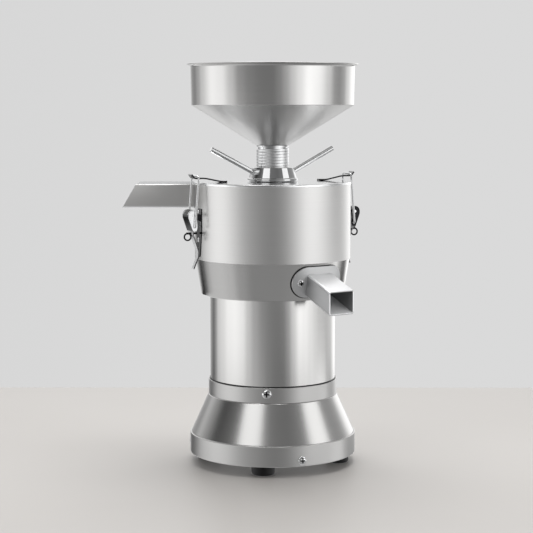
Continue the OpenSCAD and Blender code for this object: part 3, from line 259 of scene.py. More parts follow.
# polished screw heads; also a painted highlight round the spout's mouth
screwSteelAndMouthHighlight = metalFinish("screwSteelAndMouthHighlight", {
    "brush": straightBrush, "lines": 1500.0, "clouds": 90.0, "rough": (0.1, 0.17), "bump": 0.05,
    "dark": (0.82, 0.825, 0.83), "light": (0.92, 0.925, 0.93)})
smallSteel = metalFinish("smallSteel", {
    "brush": straightBrush, "lines": 1300.0, "clouds": 60.0, "rough": (0.12, 0.22), "bump": 0.08,
    "dark": (0.62, 0.625, 0.63), "light": (0.74, 0.745, 0.75)})
weldSteel = metalFinish("weldSteel", {
    "brush": straightBrush, "lines": 500.0, "clouds": 160.0, "rough": (0.25, 0.4), "bump": 0.6,
    "dark": (0.22, 0.22, 0.225), "light": (0.42, 0.42, 0.425)})
castAlloy = metalFinish("castAlloy", {
    "brush": straightBrush, "lines": 220.0, "clouds": 90.0, "rough": (0.42, 0.6), "bump": 0.5,
    "dark": (0.45, 0.455, 0.46), "light": (0.58, 0.585, 0.59)})
laminations = metalFinish("laminations", {
    "brush": turnedBrush, "lines": 2000.0, "clouds": 40.0, "rough": (0.45, 0.6), "bump": 0.6,
    "dark": (0.22, 0.225, 0.24), "light": (0.36, 0.365, 0.38)})
windings = metalFinish("windings", {
    "brush": turnedBrush, "lines": 1100.0, "clouds": 50.0, "rough": (0.25, 0.4), "bump": 0.7,
    "dark": (0.42, 0.16, 0.05), "light": (0.68, 0.33, 0.14)})


grainSet = {"fineDetail": 4.0, "fineRough": 0.6, "cloudDetail": 3.0, "cloudRough": 0.5, "bumpDeep": 0.0001,
            "shine": 0.5}


def grainFinish(name, spec):
    mat = bpy.data.materials.new(name)
    mat.use_nodes = True
    tree = mat.node_tree
    shader = tree.nodes["Principled BSDF"]
    coords = tree.nodes.new("ShaderNodeTexCoord")
    place = coords.outputs["Object"]
    fine = noiseNode(tree, place, spec["grain"], grainSet["fineDetail"], grainSet["fineRough"])
    cloud = noiseNode(tree, place, spec["clouds"], grainSet["cloudDetail"], grainSet["cloudRough"])
    tree.links.new(mixTone(tree, mixValue(tree, cloud, 0, 1), spec["dark"], spec["light"]), shader.inputs["Base Color"])
    tree.links.new(mixValue(tree, cloud, *spec["rough"]), shader.inputs["Roughness"])
    shader.inputs["Specular IOR Level"].default_value = spec.get("shine", grainSet["shine"])
    bump = tree.nodes.new("ShaderNodeBump")
    bump.inputs["Strength"].default_value = spec["bump"]
    bump.inputs["Distance"].default_value = grainSet["bumpDeep"]
    tree.links.new(fine, bump.inputs["Height"])
    tree.links.new(bump.outputs[0], shader.inputs["Normal"])
    return mat


blackRubber = grainFinish("blackRubber", {
    "grain": 1800.0, "clouds": 40.0, "rough": (0.3, 0.45), "bump": 0.25, "shine": 0.3,
    "dark": (0.005, 0.005, 0.0055), "light": (0.011, 0.011, 0.012)})
blackPlastic = grainFinish("blackPlastic", {
    "grain": 2600.0, "clouds": 30.0, "rough": (0.34, 0.46), "bump": 0.3,
    "dark": (0.012, 0.012, 0.014), "light": (0.022, 0.022, 0.025)})
grindStone = grainFinish("grindStone", {
    "grain": 1400.0, "clouds": 500.0, "rough": (0.75, 0.9), "bump": 0.9,
    "dark": (0.16, 0.165, 0.16), "light": (0.42, 0.425, 0.41)})
print("materials made")


def joined(bm, gap=1e-6):
    bmesh.ops.remove_doubles(bm, verts=bm.verts, dist=gap)
    bmesh.ops.recalc_face_normals(bm, faces=bm.faces)
    return bm


def placed(bm, name, finishes, body, replaced=(), sharp=35, weights=True):
    # closes a mesh, gives it its finishes and hands it to its body
    joined(bm, gap=1e-5)
    mesh = bpy.data.meshes.new(name)
    bm.to_mesh(mesh)
    bm.free()
    mesh.shade_smooth()
    mesh.set_sharp_from_angle(angle=radians(sharp))
    for finish in finishes if isinstance(finishes, list) else [finishes]:
        mesh.materials.append(finish)
    obj = bpy.data.objects.new(name, mesh)
    scene.collection.objects.link(obj)
    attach(obj, body)
    if replaced:
        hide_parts(*replaced)
    if weights:
        weighted = obj.modifiers.new("weights", "WEIGHTED_NORMAL")
        weighted.keep_sharp = True
    return obj


def outline(points, rounds=(), closed=True, plane="rz"):
    # wire of a section, in millimetres, with its corners rounded
    bm = bmesh.new()
    verts = [bm.verts.new((a * mm, 0, b * mm) if plane == "rz" else (0, a * mm, b * mm)) for a, b in points]
    for a, b in zip(verts, verts[1:] + verts[:1] if closed else verts[1:]):
        bm.edges.new((a, b))
    for radius, picks in rounds:
        bmesh.ops.bevel(bm, geom=[verts[i] for i in picks], offset=radius * mm, offset_type="OFFSET", segments=6,
                        profile=0.5, affect="VERTICES", material=-1)
    return bm


def spun(bm, steps):
    bmesh.ops.spin(bm, geom=bm.verts[:] + bm.edges[:], cent=(0, 0, 0), axis=(0, 0, 1), angle=2 * pi, steps=steps,
                   use_merge=True)
    return bm


def turned(points, rounds=(), steps=180):
    return spun(outline(points, rounds), steps)


def newVerts(grown):
    return [v for v in grown["geom"] if isinstance(v, bmesh.types.BMVert)]


def sliced(bm, *cuts):
    # new edges along planes, each a point in millimetres and a direction
    for spot, side in cuts:
        bmesh.ops.bisect_plane(bm, geom=bm.verts[:] + bm.edges[:] + bm.faces[:], plane_co=Vector(spot) * mm,
                               plane_no=side)


def pierced(bm, within):
    # takes out the faces whose middle, in millimetres, is within a window
    gone = [face for face in bm.faces if within(face.calc_center_median() / mm)]
    bmesh.ops.delete(bm, geom=gone, context="FACES")


def swung(bm, angle, out=0.0):
    # from a piece's own out / across / up to its place round the axis
    bmesh.ops.translate(bm, verts=bm.verts, vec=(out * mm, 0, 0))
    bmesh.ops.rotate(bm, verts=bm.verts, cent=(0, 0, 0), matrix=Matrix.Rotation(radians(angle), 3, "Z"))
    return bm


def merged(*parts):
    whole = bmesh.new()
    for part in parts:
        mesh = bpy.data.meshes.new("part")
        part.to_mesh(mesh)
        part.free()
        whole.from_mesh(mesh)
        bpy.data.meshes.remove(mesh)
    return whole


def softened(bm, width, segments=2, slot=None, angle=60):
    # rounds the sharp edges of a closed shape; slot gives the new faces their own finish
    bm.normal_update()
    rims = [e for e in bm.edges if len(e.link_faces) == 2 and e.calc_face_angle(0) > radians(angle)]
    rounded = bmesh.ops.bevel(bm, geom=rims, offset=width * mm, offset_type="OFFSET", segments=segments, profile=0.5,
                              affect="EDGES", clamp_overlap=True, material=-1)["faces"]
    for face in rounded if slot else ():
        face.material_index = slot
    return bm


def sheetWall(bm, thick):
    # gives an open sheet its thickness, inwards
    joined(bm)
    bmesh.ops.solidify(bm, geom=bm.faces[:], thickness=thick * mm)
    return bm


def between(table, t):
    # value at t on a line through a table's points
    for (a, low), (b, high) in zip(table, table[1:]):
        if t <= b:
            return low + (high - low) * max(t - a, 0) / (b - a)
    return table[-1][1]


stripRound = 0.22  # share of the thickness
plateRound = 0.3


def strip(path, rounds, widths, along, thick, across=2, slots=None):
    # bent sheet strip on its middle line; widths gives half its width by height (along=2) or by reach (along=0)
    bm = outline(path, rounds, closed=False)
    bmesh.ops.translate(bm, verts=bm.verts, vec=(0, -1, 0))
    edges = bm.edges[:]
    for step in range(across):
        grown = bmesh.ops.extrude_edge_only(bm, edges=edges)
        edges = [e for e in grown["geom"] if isinstance(e, bmesh.types.BMEdge)]
        bmesh.ops.translate(bm, verts=newVerts(grown), vec=(0, 2 / across, 0))
    for v in bm.verts:
        v.co.y *= between(widths, v.co[along] / mm) * mm
    bmesh.ops.recalc_face_normals(bm, faces=bm.faces)
    bm.normal_update()
    for v in bm.verts:
        v.co += v.normal * thick / 2 * mm
    if slots:  # two slots, open at the top, between two distances across
        inner, outer, foot = slots
        sliced(bm, *(((0, y, 0), (0, 1, 0)) for y in (-outer, -inner, inner, outer)), ((0, 0, foot), (0, 0, 1)))
        pierced(bm, lambda spot: inner < abs(spot.y) < outer and spot.z > foot)
    bmesh.ops.solidify(bm, geom=bm.faces[:], thickness=thick * mm)
    return softened(bm, thick * stripRound)


def plate(points, rounds, y0, y1):
    # flat plate on edge, between two distances across
    bm = outline(points, rounds)
    bmesh.ops.translate(bm, verts=bm.verts, vec=(0, y0 * mm, 0))
    faces = bmesh.ops.contextual_create(bm, geom=bm.edges[:])["faces"]
    grown = bmesh.ops.extrude_face_region(bm, geom=faces)
    bmesh.ops.translate(bm, verts=newVerts(grown), vec=(0, (y1 - y0) * mm, 0))
    bmesh.ops.recalc_face_normals(bm, faces=bm.faces)
    return softened(bm, plateRound)


def wire(points, thick, ring=False):
    # round wire along points in millimetres
    curve = bpy.data.curves.new("wire", "CURVE")
    curve.dimensions = "3D"
    curve.bevel_depth = thick / 2 * mm
    curve.bevel_resolution = 5
    curve.use_fill_caps = True
    line = curve.splines.new("POLY")
    line.points.add(len(points) - 1)
    for spot, p in zip(line.points, points):
        spot.co = (*(Vector(p) * mm), 1)
    line.use_cyclic_u = ring
    obj = bpy.data.objects.new("wire", curve)
    mesh = bpy.data.meshes.new_from_object(obj)
    bm = bmesh.new()
    bm.from_mesh(mesh)
    bpy.data.objects.remove(obj)
    bpy.data.curves.remove(curve)
    bpy.data.meshes.remove(mesh)
    return bm


def arc(cx, cy, radius, start, end, steps=8):
    return [(cx + radius * cos(radians(start + (end - start) * i / steps)),
             cy + radius * sin(radians(start + (end - start) * i / steps))) for i in range(steps + 1)]


# hopper
hopperSet = {"spigot": 18.3, "foot": 22.3, "seam": 112.2, "top": 113.3, "rim": 118.2, "sheet": 1.2, "flare": (3.2, 1.2),
             "flareInside": (1.6, 3.0), "seamUp": 0.5, "footUp": 1.5, "boreUp": 0.7, "zSpigot": 419, "zFoot": 441,
             "zSeam": 496.3, "zTop": 552.5, "steps": 200,
             "rounds": [(0.4, [3]), (2.2, [9]), (1.6, [4, 8]), (0.5, [5, 6])]}  # radius, corners of the outline
h = hopperSet
bore = h["spigot"] - h["sheet"]
hopperShell = placed(turned([
    (h["spigot"], h["zSpigot"]), (h["spigot"], h["zFoot"]), (h["foot"], h["zFoot"]), (h["seam"], h["zSeam"]),
    (h["top"], h["zTop"] - h["flare"][0]), (h["rim"], h["zTop"] - h["flare"][1]), (h["rim"], h["zTop"]),
    (h["top"], h["zTop"] - h["flareInside"][0]), (h["top"] - h["sheet"], h["zTop"] - h["flareInside"][1]),
    (h["seam"] - h["sheet"], h["zSeam"] + h["seamUp"]), (h["foot"], h["zFoot"] + h["footUp"]),
    (bore, h["zFoot"] + h["boreUp"]), (bore, h["zSpigot"])], h["rounds"], h["steps"]),
    "hopperShell", [bodySteel, funnelSteel], "hopper_body", ["hopper"])
for face in hopperShell.data.polygons:  # the funnel is duller than the wall
    if face.normal.z < -0.3 and face.center.z < h["zSeam"] * mm:
        face.material_index = 1
print("hopper made")

# threaded feed tube
feedSet = {"root": 20.0, "flank": 21.9, "crest": 22.4, "pitch": 4.0, "tooth": 3.96, "edge": 0.5, "steps": 72,
           "zFoot": 393.5, "zTop": 438.3, "rounds": [(0.3, [2, 3])]}
f = feedSet
turns = int((f["zTop"] - f["zFoot"] - f["pitch"]) / f["pitch"])
z0, z1 = f["zFoot"], f["zFoot"] + f["tooth"]
bm = outline([(f["root"], z0), (f["flank"], z0), (f["crest"], z0 + f["edge"]), (f["crest"], z1 - f["edge"]),
              (f["flank"], z1), (f["root"], z1)], f["rounds"])
bmesh.ops.spin(bm, geom=bm.verts[:] + bm.edges[:], cent=(0, 0, 0), axis=(0, 0, 1), angle=2 * pi * turns,
               steps=f["steps"] * turns, dvec=(0, 0, f["pitch"] * mm / f["steps"]))
bmesh.ops.holes_fill(bm, edges=[e for e in bm.edges if e.is_boundary], sides=0)
placed(bm, "feedThread", threadSteel, "feed", ["feed_thread"], sharp=45)
print("thread made")

# nut with its two handles
nutSet = {"bore": 22.8, "flange": 35.0, "flangeH": 4.5, "step": 0.3, "shoulder": 33.2, "top": 28.6, "zFoot": 391.9,
          "zTop": 411.2, "steps": 120, "rounds": [(2.1, [1, 2]), (1.0, [4]), (0.5, [0, 5])]}
n = nutSet
zFlange = n["zFoot"] + n["flangeH"]
placed(turned([
    (n["bore"], n["zFoot"]), (n["flange"], n["zFoot"]), (n["flange"], zFlange), (n["shoulder"], zFlange + n["step"]),
    (n["top"], n["zTop"]), (n["bore"], n["zTop"])], n["rounds"], n["steps"]),
    "nutBody", nutChrome, "nut", ["adjusting_nut"])

rodSet = {"thick": 7.8, "root": 31.4, "zRoot": 405.41, "rise": 27.7, "reach": 90.8, "tail": 4.0, "steps": 32,
          "azimuths": (202.5, 22.5), "rounds": [(0.9, [2]), (0.4, [1])]}
r = rodSet
length = (r["reach"] - r["root"]) / cos(radians(r["rise"]))
half = r["thick"] / 2
rods = []
for azimuth in r["azimuths"]:
    rod = outline([(0, -r["tail"]), (half, -r["tail"]), (half, length), (0, length)], r["rounds"], closed=False)
    spun(rod, r["steps"])
    bmesh.ops.rotate(rod, verts=rod.verts, cent=(0, 0, 0), matrix=Matrix.Rotation(radians(90 - r["rise"]), 3, "Y"))
    bmesh.ops.translate(rod, verts=rod.verts, vec=(0, 0, r["zRoot"] * mm))
    rods.append(swung(rod, azimuth, r["root"]))
placed(merged(*rods), "nutRods", nutSteel, "nut", ["nut_handles"])
print("nut made")

# lid
lidSet = {"bore": 22.8, "edge": 108.8, "lip": 108.1, "zLip": 388.2, "zFoot": 389.3, "zTop": 391.5, "steps": 200,
          "rounds": [(1.0, [4]), (0.3, [3]), (0.4, [0, 5])]}
j = lidSet
placed(turned([
    (j["bore"], j["zFoot"]), (j["lip"], j["zFoot"]), (j["lip"], j["zLip"]), (j["edge"], j["zLip"]),
    (j["edge"], j["zTop"]), (j["bore"], j["zTop"])], j["rounds"], j["steps"]),
    "lidDisc", lidChrome, "housing", ["lid"])
print("lid made")

# drum with the window for the chute
drumSet = {"radius": 107.9, "sheet": 1.5, "zFoot": 286.0, "zRim": 388.5, "steps": 240}
chuteSet = {"y0": -12.0, "y1": 68.0, "z0": 355.0, "z1": 388.0, "corner": 2.0, "lowCorner": 4.0, "sheet": 1.5,
            "reach": 207.8, "slant": 19.0, "spare": 10.0, "sunk": 0.6, "soft": 0.5}
d, c = drumSet, chuteSet
bm = joined(spun(outline([(d["radius"], d["zFoot"]), (d["radius"], d["zRim"])], closed=False), d["steps"]))
y0, y1, z0, z1 = c["y0"] + c["sheet"], c["y1"] - c["sheet"], c["z0"] + c["sheet"], c["z1"] - c["sheet"]
sliced(bm, ((0, 0, z0), (0, 0, 1)), ((0, 0, z1), (0, 0, 1)), ((0, y0, 0), (0, 1, 0)), ((0, y1, 0), (0, 1, 0)))
pierced(bm, lambda spot: spot.x < 0 and y0 < spot.y < y1 and z0 < spot.z < z1)
placed(sheetWall(bm, d["sheet"]), "drumWall", satinSteel, "housing", ["drum"], weights=False)
print("drum made")


# pulp chute: rounded box tube, slashed at its mouth and fitted to the drum
def chuteSection():
    return outline([(c["y0"], c["z0"]), (c["y1"], c["z0"]), (c["y1"], c["z1"]), (c["y0"], c["z1"])],
                   [(c["lowCorner"], [0, 1]), (c["corner"], [2, 3])], plane="yz")


bm = chuteSection()
start = bm.verts[:]
far = newVerts(bmesh.ops.extrude_edge_only(bm, edges=bm.edges[:]))
bmesh.ops.translate(bm, verts=far, vec=(-(c["reach"] + c["spare"]) * mm, 0, 0))
for v in start:
    v.co.x = -sqrt((d["radius"] - c["sunk"]) ** 2 - (v.co.y / mm) ** 2) * mm
bmesh.ops.bisect_plane(bm, geom=bm.verts[:] + bm.edges[:] + bm.faces[:], clear_outer=True,
                       plane_co=Vector((-c["reach"], 0, c["z0"])) * mm, plane_no=(c["z0"] - c["z1"], 0, c["slant"]))
chuteTube = placed(softened(sheetWall(bm, c["sheet"]), c["soft"], slot=1), "chuteTube",
                   [sheetSteel, paintedHighlightSteel, paintedShadeSteel], "housing", ["pulp_chute"], weights=False)
for face in chuteTube.data.polygons:  # painted highlight on the cut edges and lower corners, painted shade on the top and floor
    if -0.95 < face.normal.z < -0.15 and abs(face.normal.x) < 0.1:
        face.material_index = 1
    elif face.normal.z > 0.9:
        face.material_index = 2

# bead of weld where the chute meets the drum
weldSet = {"thick": 1.5, "longEdge": 20.0, "cuts": 12}


def chuteLoop():
    # points round the chute's section, in order
    loop = chuteSection()
    longEdges = [e for e in loop.edges if e.calc_length() > weldSet["longEdge"] * mm]
    bmesh.ops.subdivide_edges(loop, edges=longEdges, cuts=weldSet["cuts"])
    walk, spots = loop.verts[:][0], []
    edge = walk.link_edges[0]
    while len(spots) < len(loop.verts):
        spots.append((walk.co.y / mm, walk.co.z / mm))
        walk = edge.other_vert(walk)
        edge = [e for e in walk.link_edges if e != edge][0]
    loop.free()
    return spots


spots = [(-sqrt(d["radius"] ** 2 - y * y), y, z) for y, z in chuteLoop()]
placed(wire(spots, weldSet["thick"], ring=True), "chuteWeld", weldSteel, "housing")
print("chute made")

# the milk bowl's sizes, which its spout follows
bowlSet = {"floor": 99.1, "top": 107.1, "spigot": 106.2, "spigotH": 12.0, "sheet": 1.6, "hub": 15.5, "bend": 1.6,
           "midWall": 103.0, "zFloor": 235.8, "zTop": 286.0, "steps": 200}
b = bowlSet
bowlLean = (b["top"] - b["floor"]) / (b["zTop"] - b["zFloor"])


def bowlWall(z):
    return b["floor"] + (z - b["zFloor"]) * bowlLean


# milk spout: rounded box tube on a screwed flange
spoutSet = {"azimuth": -53.5, "reach": 153.0, "zMouth": 220.8, "fall": 22.3, "wide": 42.0, "high": 32.2, "corner": 3.6,
            "sheet": 2.2, "sunk": 0.6, "soft": 0.7, "flangeW": 80.8, "flangeH": 41.5, "flangeT": 2.0, "flangeSoft": 1.8,
            "flangeCuts": range(-38, 40, 2), "zFlange": 261.1, "pad": 1.5, "padShadowLip": 0.8, "padGap": 0.05,
            "padSoft": 0.2, "steps": 12}
# finishes of the spout by face; all but the flange are painted light and shade
spoutFinishesAndPaintedLight = {"side": spoutShadedSideSteel, "inside": paintedShadeSteel, "edge": paintedHighlightSteel, "flange": flangeSteel, "floor": paintedLightSteel,
              "top": paintedLitTopSteel, "mouth": screwSteelAndMouthHighlight}
p = spoutSet
look = list(spoutFinishesAndPaintedLight).index
fall = tan(radians(p["fall"]))
half = p["wide"] / 2
z0, z1 = p["zMouth"], p["zMouth"] + p["high"]
bm = outline([(-half, z0), (half, z0), (half, z1), (-half, z1)], [(p["corner"], [0, 1, 2, 3])], plane="yz")
bmesh.ops.translate(bm, verts=bm.verts, vec=(p["reach"] * mm, 0, 0))
for v in newVerts(bmesh.ops.extrude_edge_only(bm, edges=bm.edges[:])):
    low, y, reach = v.co.z / mm, v.co.y / mm, p["reach"]
    for step in range(p["steps"]):  # slides the end back along the fall until it meets the bowl
        z = low + (p["reach"] - reach) * fall
        reach = sqrt((bowlWall(z) + p["pad"] + p["sunk"]) ** 2 - y * y)
    v.co = Vector((reach, y, low + (p["reach"] - reach) * fall)) * mm
# painted highlight on the rounded edges
spoutTube = softened(sheetWall(bm, p["sheet"]), p["soft"], 3, look("edge"))
for face in spoutTube.faces:  # painted shade inside with painted light on the floor, painted light on top, painted highlight along the corners and round the mouth, and painted shade on the sides
    spot = face.calc_center_median() / mm
    middle = Vector((spot.x, 0, p["zMouth"] + p["high"] / 2 + (p["reach"] - spot.x) * fall))
    inside = face.normal.dot(spot - middle) < 0 and abs(face.normal.x) < 0.6
    if inside and face.normal.z > 0.85:
        face.material_index = look("floor")
    elif face.normal.x > 0.8:
        face.material_index = look("mouth")
    elif not inside and 0.15 < abs(face.normal.y) < 0.97:
        face.material_index = look("edge")
    elif inside:
        face.material_index = look("inside")
    elif face.normal.z > 0.3:
        face.material_index = look("top")


def flangeSheet(inset, inner, outer, soft, slot=None):
    # rounded plate, wrapped on the leaning bowl between two distances
    edge = arc((p["flangeW"] - p["flangeH"]) / 2, 0, p["flangeH"] / 2 - inset, -90, 90, steps=18)
    edge += [(-a, -b) for a, b in edge]
    sheet = outline(edge, plane="yz")
    bmesh.ops.contextual_create(sheet, geom=sheet.edges[:])
    sliced(sheet, *(((0, cut, 0), (0, 1, 0)) for cut in p["flangeCuts"]))
    grown = bmesh.ops.extrude_face_region(sheet, geom=sheet.faces[:])
    bmesh.ops.translate(sheet, verts=newVerts(grown), vec=((outer - inner) * mm, 0, 0))
    bmesh.ops.recalc_face_normals(sheet, faces=sheet.faces)
    softened(sheet, soft, 3, slot)
    for v in sheet.verts:
        y, z = v.co.y / mm, v.co.z / mm + p["zFlange"]
        v.co = Vector((sqrt((bowlWall(z) + inner + v.co.x / mm) ** 2 - y * y), y, z)) * mm
    return sheet


# the flange's rounded rim gets a painted highlight
flange = flangeSheet(0, p["pad"], p["pad"] + p["flangeT"], p["flangeSoft"], look("edge"))
for face in flange.faces:
    if face.material_index == 0:
        face.material_index = look("flange")
placed(swung(merged(spoutTube, flange), p["azimuth"]), "milkSpout", list(spoutFinishesAndPaintedLight.values()), "housing",
       ["milk_spout"], weights=False)
# black rubber pad under the flange; its lip stands out past the flange as a painted shadow line
placed(swung(flangeSheet(-p["padShadowLip"], p["padGap"], p["pad"], p["padSoft"]), p["azimuth"]), "spoutPad", blackRubber,
       "housing", ["spout_gasket"])
print("spout made")

# two toggle latches on the drum, each with its hooked strip on the lid; places are out and up
latchSet = {"azimuths": {"left": 202.5, "right": 22.5}, "pivot": (12.6, 347.5), "bailPivot": (11.0, 331.5),
            "crossbar": (5.5, 400.6), "cheek": 10.4, "ear": 8.4, "edgeOn": 0.6}
t = latchSet
px, pz = t["pivot"]
bx, bz = t["bailPivot"]
turn = radians(t["azimuths"]["right"])
across = Vector((-sin(turn), cos(turn), 0))


def atLatch(bm, side):
    return swung(bm, t["azimuths"][side], d["radius"])


leverSet = {"sheet": 1.8, "knuckle": 6.7, "curl": 115, "bend": 3.0, "wide": 24.0, "wideTop": 20.0, "neckW": 12.5,
            "neckH": 5.0, "endW": 8.0, "endIn": 0.6, "endH": 2.0, "foot": (2.9, 298.0), "heel": (3.3, 290.0),
            "tip": (9.5, 274.0), "rounds": [(1.6, [14, 15])], "slotGap": 0.4, "slotUp": 1.0, "cheekIn": 0.6,
            "cheekGap": 0.4, "cheekFoot": 3.0, "cheekBack": (4.0, 5.0), "cheekTop": 5.0,
            "cheekRounds": [(1.2, [12, 13])], "tailUp": 2.0,
            # lit and shaded copies: the left lever gets a painted highlight on its tail, the right one painted shade on
            # its tail and cheeks
            "litAndShadedLooks": {"left": [darkChromeAndPaintedReflection, paintedHighlightSteel, latchSteel], "right": [darkChromeAndPaintedReflection, darkChromeAndPaintedReflection, blackPinAndPaintedShade]}}


def madeLever(side):
    k = leverSet
    knuckle, half, zTip = k["knuckle"], k["wide"] / 2, k["tip"][1]
    zBend, zNeck, zLow = pz - k["bend"], bz - k["neckH"], bz - 2 * k["neckH"]
    footX, footZ = k["foot"]
    slope = (px + knuckle - footX) / (zBend - footZ)
    straight = [(footX + (z - footZ) * slope, z) for z in (zNeck, zLow)]
    path = arc(px, pz, knuckle, k["curl"], 0, steps=10) + [(px + knuckle, zBend)] + straight
    path += [k["foot"], k["heel"], k["tip"]]
    widths = [(zTip, k["endW"] / 2 - k["endIn"]), (zTip + k["endH"], k["endW"] / 2), (zLow, k["neckW"] / 2),
              (zNeck, half), (pz + k["wideTop"], half)]
    slots = (t["ear"] - k["slotGap"], t["cheek"], pz + k["slotUp"])
    parts = [strip(path, k["rounds"], widths, 2, k["sheet"], slots=slots)]
    inner = knuckle - k["cheekIn"]
    cheek = arc(px, pz, inner, k["curl"], 0, steps=10) + [(px + inner, zBend), (straight[0][0] - k["cheekGap"], zNeck)]
    cheek += [(bx - k["cheekFoot"], zNeck), (bx - k["cheekBack"][0], zNeck + k["cheekBack"][1]),
              (px - k["cheekTop"], pz - k["cheekTop"])]
    for s in (-1, 1):
        parts.append(plate(cheek, k["cheekRounds"], *sorted((s * t["cheek"], s * half))))
    lever = placed(atLatch(merged(*parts), side), side + "Lever", k["litAndShadedLooks"][side], side + "_lever_body",
                   [side + "_lever"], sharp=40)
    lever.visible_glossy = False  # or the drum mirrors it as a dark blot
    for face in lever.data.polygons:  # the tail's broad faces and the cheeks get their own finishes, which paint highlight and shade differently on the two sides
        onEdge, low = abs(face.normal.dot(across)) > t["edgeOn"], face.center.z < (zNeck + k["tailUp"]) * mm
        face.material_index = 0 if onEdge == low else 1 if low else 2


bailSet = {"thick": 3.0, "wide": 28.0, "corner": 6.0, "footRound": 2.0, "footIn": 0.7,
           # painted light: the left bail is lighter than the right
           "litAndShadedLooks": {"left": nutSteel, "right": latchSteel}}


def madeBail(side):
    k = bailSet
    out, up = bx - t["crossbar"][0], t["crossbar"][1] - bz
    lean, long = atan2(out, up), hypot(out, up)
    half, corner, foot = k["wide"] / 2, k["corner"], k["footRound"]
    flat = [(t["cheek"] - k["footIn"], 0)] + arc(half - foot, foot, foot, -90, 0, steps=5)
    flat += arc(half - corner, long - corner, corner, 0, 90)
    flat += [(-y, along) for y, along in reversed(flat)]
    line = [(bx - along * sin(lean), y, bz + along * cos(lean)) for y, along in flat]
    placed(atLatch(wire(line, k["thick"]), side), side + "Bail", k["litAndShadedLooks"][side], side + "_bail_body",
           [side + "_bail"], sharp=50)


pullSet = {"place": (17.15, 318.0), "wide": 11.6, "thick": 2.2, "steps": 30, "pin": 3.0, "pinIn": 4.0, "pinOut": 1.6}


def madeRingPin(side):
    k = pullSet
    x, z = k["place"]
    radius = (k["wide"] - k["thick"]) / 2
    loop = [(out, 0, up) for out, up in arc(x, z, radius, 0, 360, k["steps"])[:-1]]
    pin = wire([(k["pinIn"], 0, z + radius), (x + k["pinOut"], 0, z + radius)], k["pin"])
    placed(atLatch(merged(wire(loop, k["thick"], ring=True), pin), side), side + "RingPin", blackPinAndPaintedShade,
           side + "_ring_body", [side + "_ring_pin"], sharp=50)


for side in t["azimuths"]:
    madeLever(side)
    madeBail(side)
    madeRingPin(side)

plateSet = {"out": 0.85, "thick": 1.55, "wide": 20.6, "zTop": 356.5, "zFoot": 289.5, "endR": 6.0, "endHalf": 0.3,
            "wideFrom": 20.0, "across": 8, "earT": 1.6, "earR": 5.0, "earRoot": 0.9, "earFoot": 9.0,
            "earBend": (1.0, 5.0), "earTop": 1.0}


def latchBase():
    k = plateSet
    radius, half = k["endR"], k["wide"] / 2
    widths = [(k["zFoot"] + radius - radius * cos(radians(a)), max(radius * sin(radians(a)), k["endHalf"]))
              for a in range(0, 91, 15)]
    widths += [(pz - k["wideFrom"], half), (k["zTop"], half)]
    base = strip([(k["out"], z) for z, wide in widths], [], widths, 2, k["thick"], k["across"])
    for v in base.verts:  # follows the round of the drum
        v.co.x = (sqrt((d["radius"] + v.co.x / mm) ** 2 - (v.co.y / mm) ** 2) - d["radius"]) * mm
    ear = [(k["earRoot"], pz - k["earFoot"]), (px - k["earBend"][0], pz - k["earBend"][1])]
    ear += arc(px, pz, k["earR"], -80, 80, steps=12) + [(px, pz + k["earR"]), (k["earRoot"], pz + k["earTop"])]
    for s in (-1, 1):
        base = merged(base, plate(ear, [], *sorted((s * t["ear"], s * (t["ear"] + k["earT"])))))
    return base


catchSet = {"thick": 2.0, "widths": [(-40, 2.0), (-39, 4.2), (-37, 6.0), (-34, 7.0), (20, 7.0)], "zFlat": 392.5,
            "zSeat": 397.5, "rise": (-30, -6), "rounds": [(4.0, [4, 5])], "hookOut": 1.0, "hookR": 5.0,
            "lip": (6.6, 5.2)}


def lidCatch():
    k = catchSet
    seat, hook = k["zSeat"], t["crossbar"][0] + k["hookOut"]
    path = [(out, k["zFlat"]) for out, half in k["widths"][:-1]]
    path += [(k["rise"][0], k["zFlat"]), (k["rise"][1], seat), (hook, seat)]
    path += arc(hook, seat + k["hookR"], k["hookR"], -70, -25, steps=5) + [(hook + k["lip"][0], seat + k["lip"][1])]
    return strip(path, k["rounds"], k["widths"], 0, k["thick"])


bases = merged(*(atLatch(latchBase(), side) for side in t["azimuths"]))
latchBases = placed(bases, "latchBases", [darkChromeAndPaintedReflection, blackPinAndPaintedShade], "housing", ["latch_bases"], sharp=40)
latchBases.visible_glossy = False  # as the levers
catches = merged(*(atLatch(lidCatch(), side) for side in t["azimuths"]))
lidCatches = placed(catches, "lidCatches", [darkChromeAndPaintedReflection, blackPinAndPaintedShade], "housing", ["lid_catches"],
                    sharp=40)
for obj in (latchBases, lidCatches):
    for face in obj.data.polygons:  # painted shade along the cut edges
        if abs(face.normal.dot(across)) > t["edgeOn"]:
            face.material_index = 1
print("latches made")

# milk bowl with the window for its spout
bm = outline([(b["hub"], b["zFloor"]), (b["floor"], b["zFloor"]), (b["top"], b["zTop"]), (b["spigot"], b["zTop"]),
              (b["spigot"], b["zTop"] + b["spigotH"])], [(b["bend"], [1])], closed=False)
swung(joined(spun(bm, b["steps"])), -p["azimuth"])
inner = p["wide"] / 2 - p["sheet"]
low, high = (p["zMouth"] + v + (p["reach"] - b["midWall"]) * fall for v in (p["sheet"], p["high"] - p["sheet"]))
sliced(bm, ((0, 0, low), (0, 0, 1)), ((0, 0, high), (0, 0, 1)), ((0, inner, 0), (0, 1, 0)), ((0, -inner, 0), (0, 1, 0)))
pierced(bm, lambda spot: spot.x > 0 and abs(spot.y) < inner and low < spot.z < high)
placed(swung(sheetWall(bm, b["sheet"]), p["azimuth"]), "bowlShell", bodySteel, "housing", ["milk_bowl"],
       weights=False)


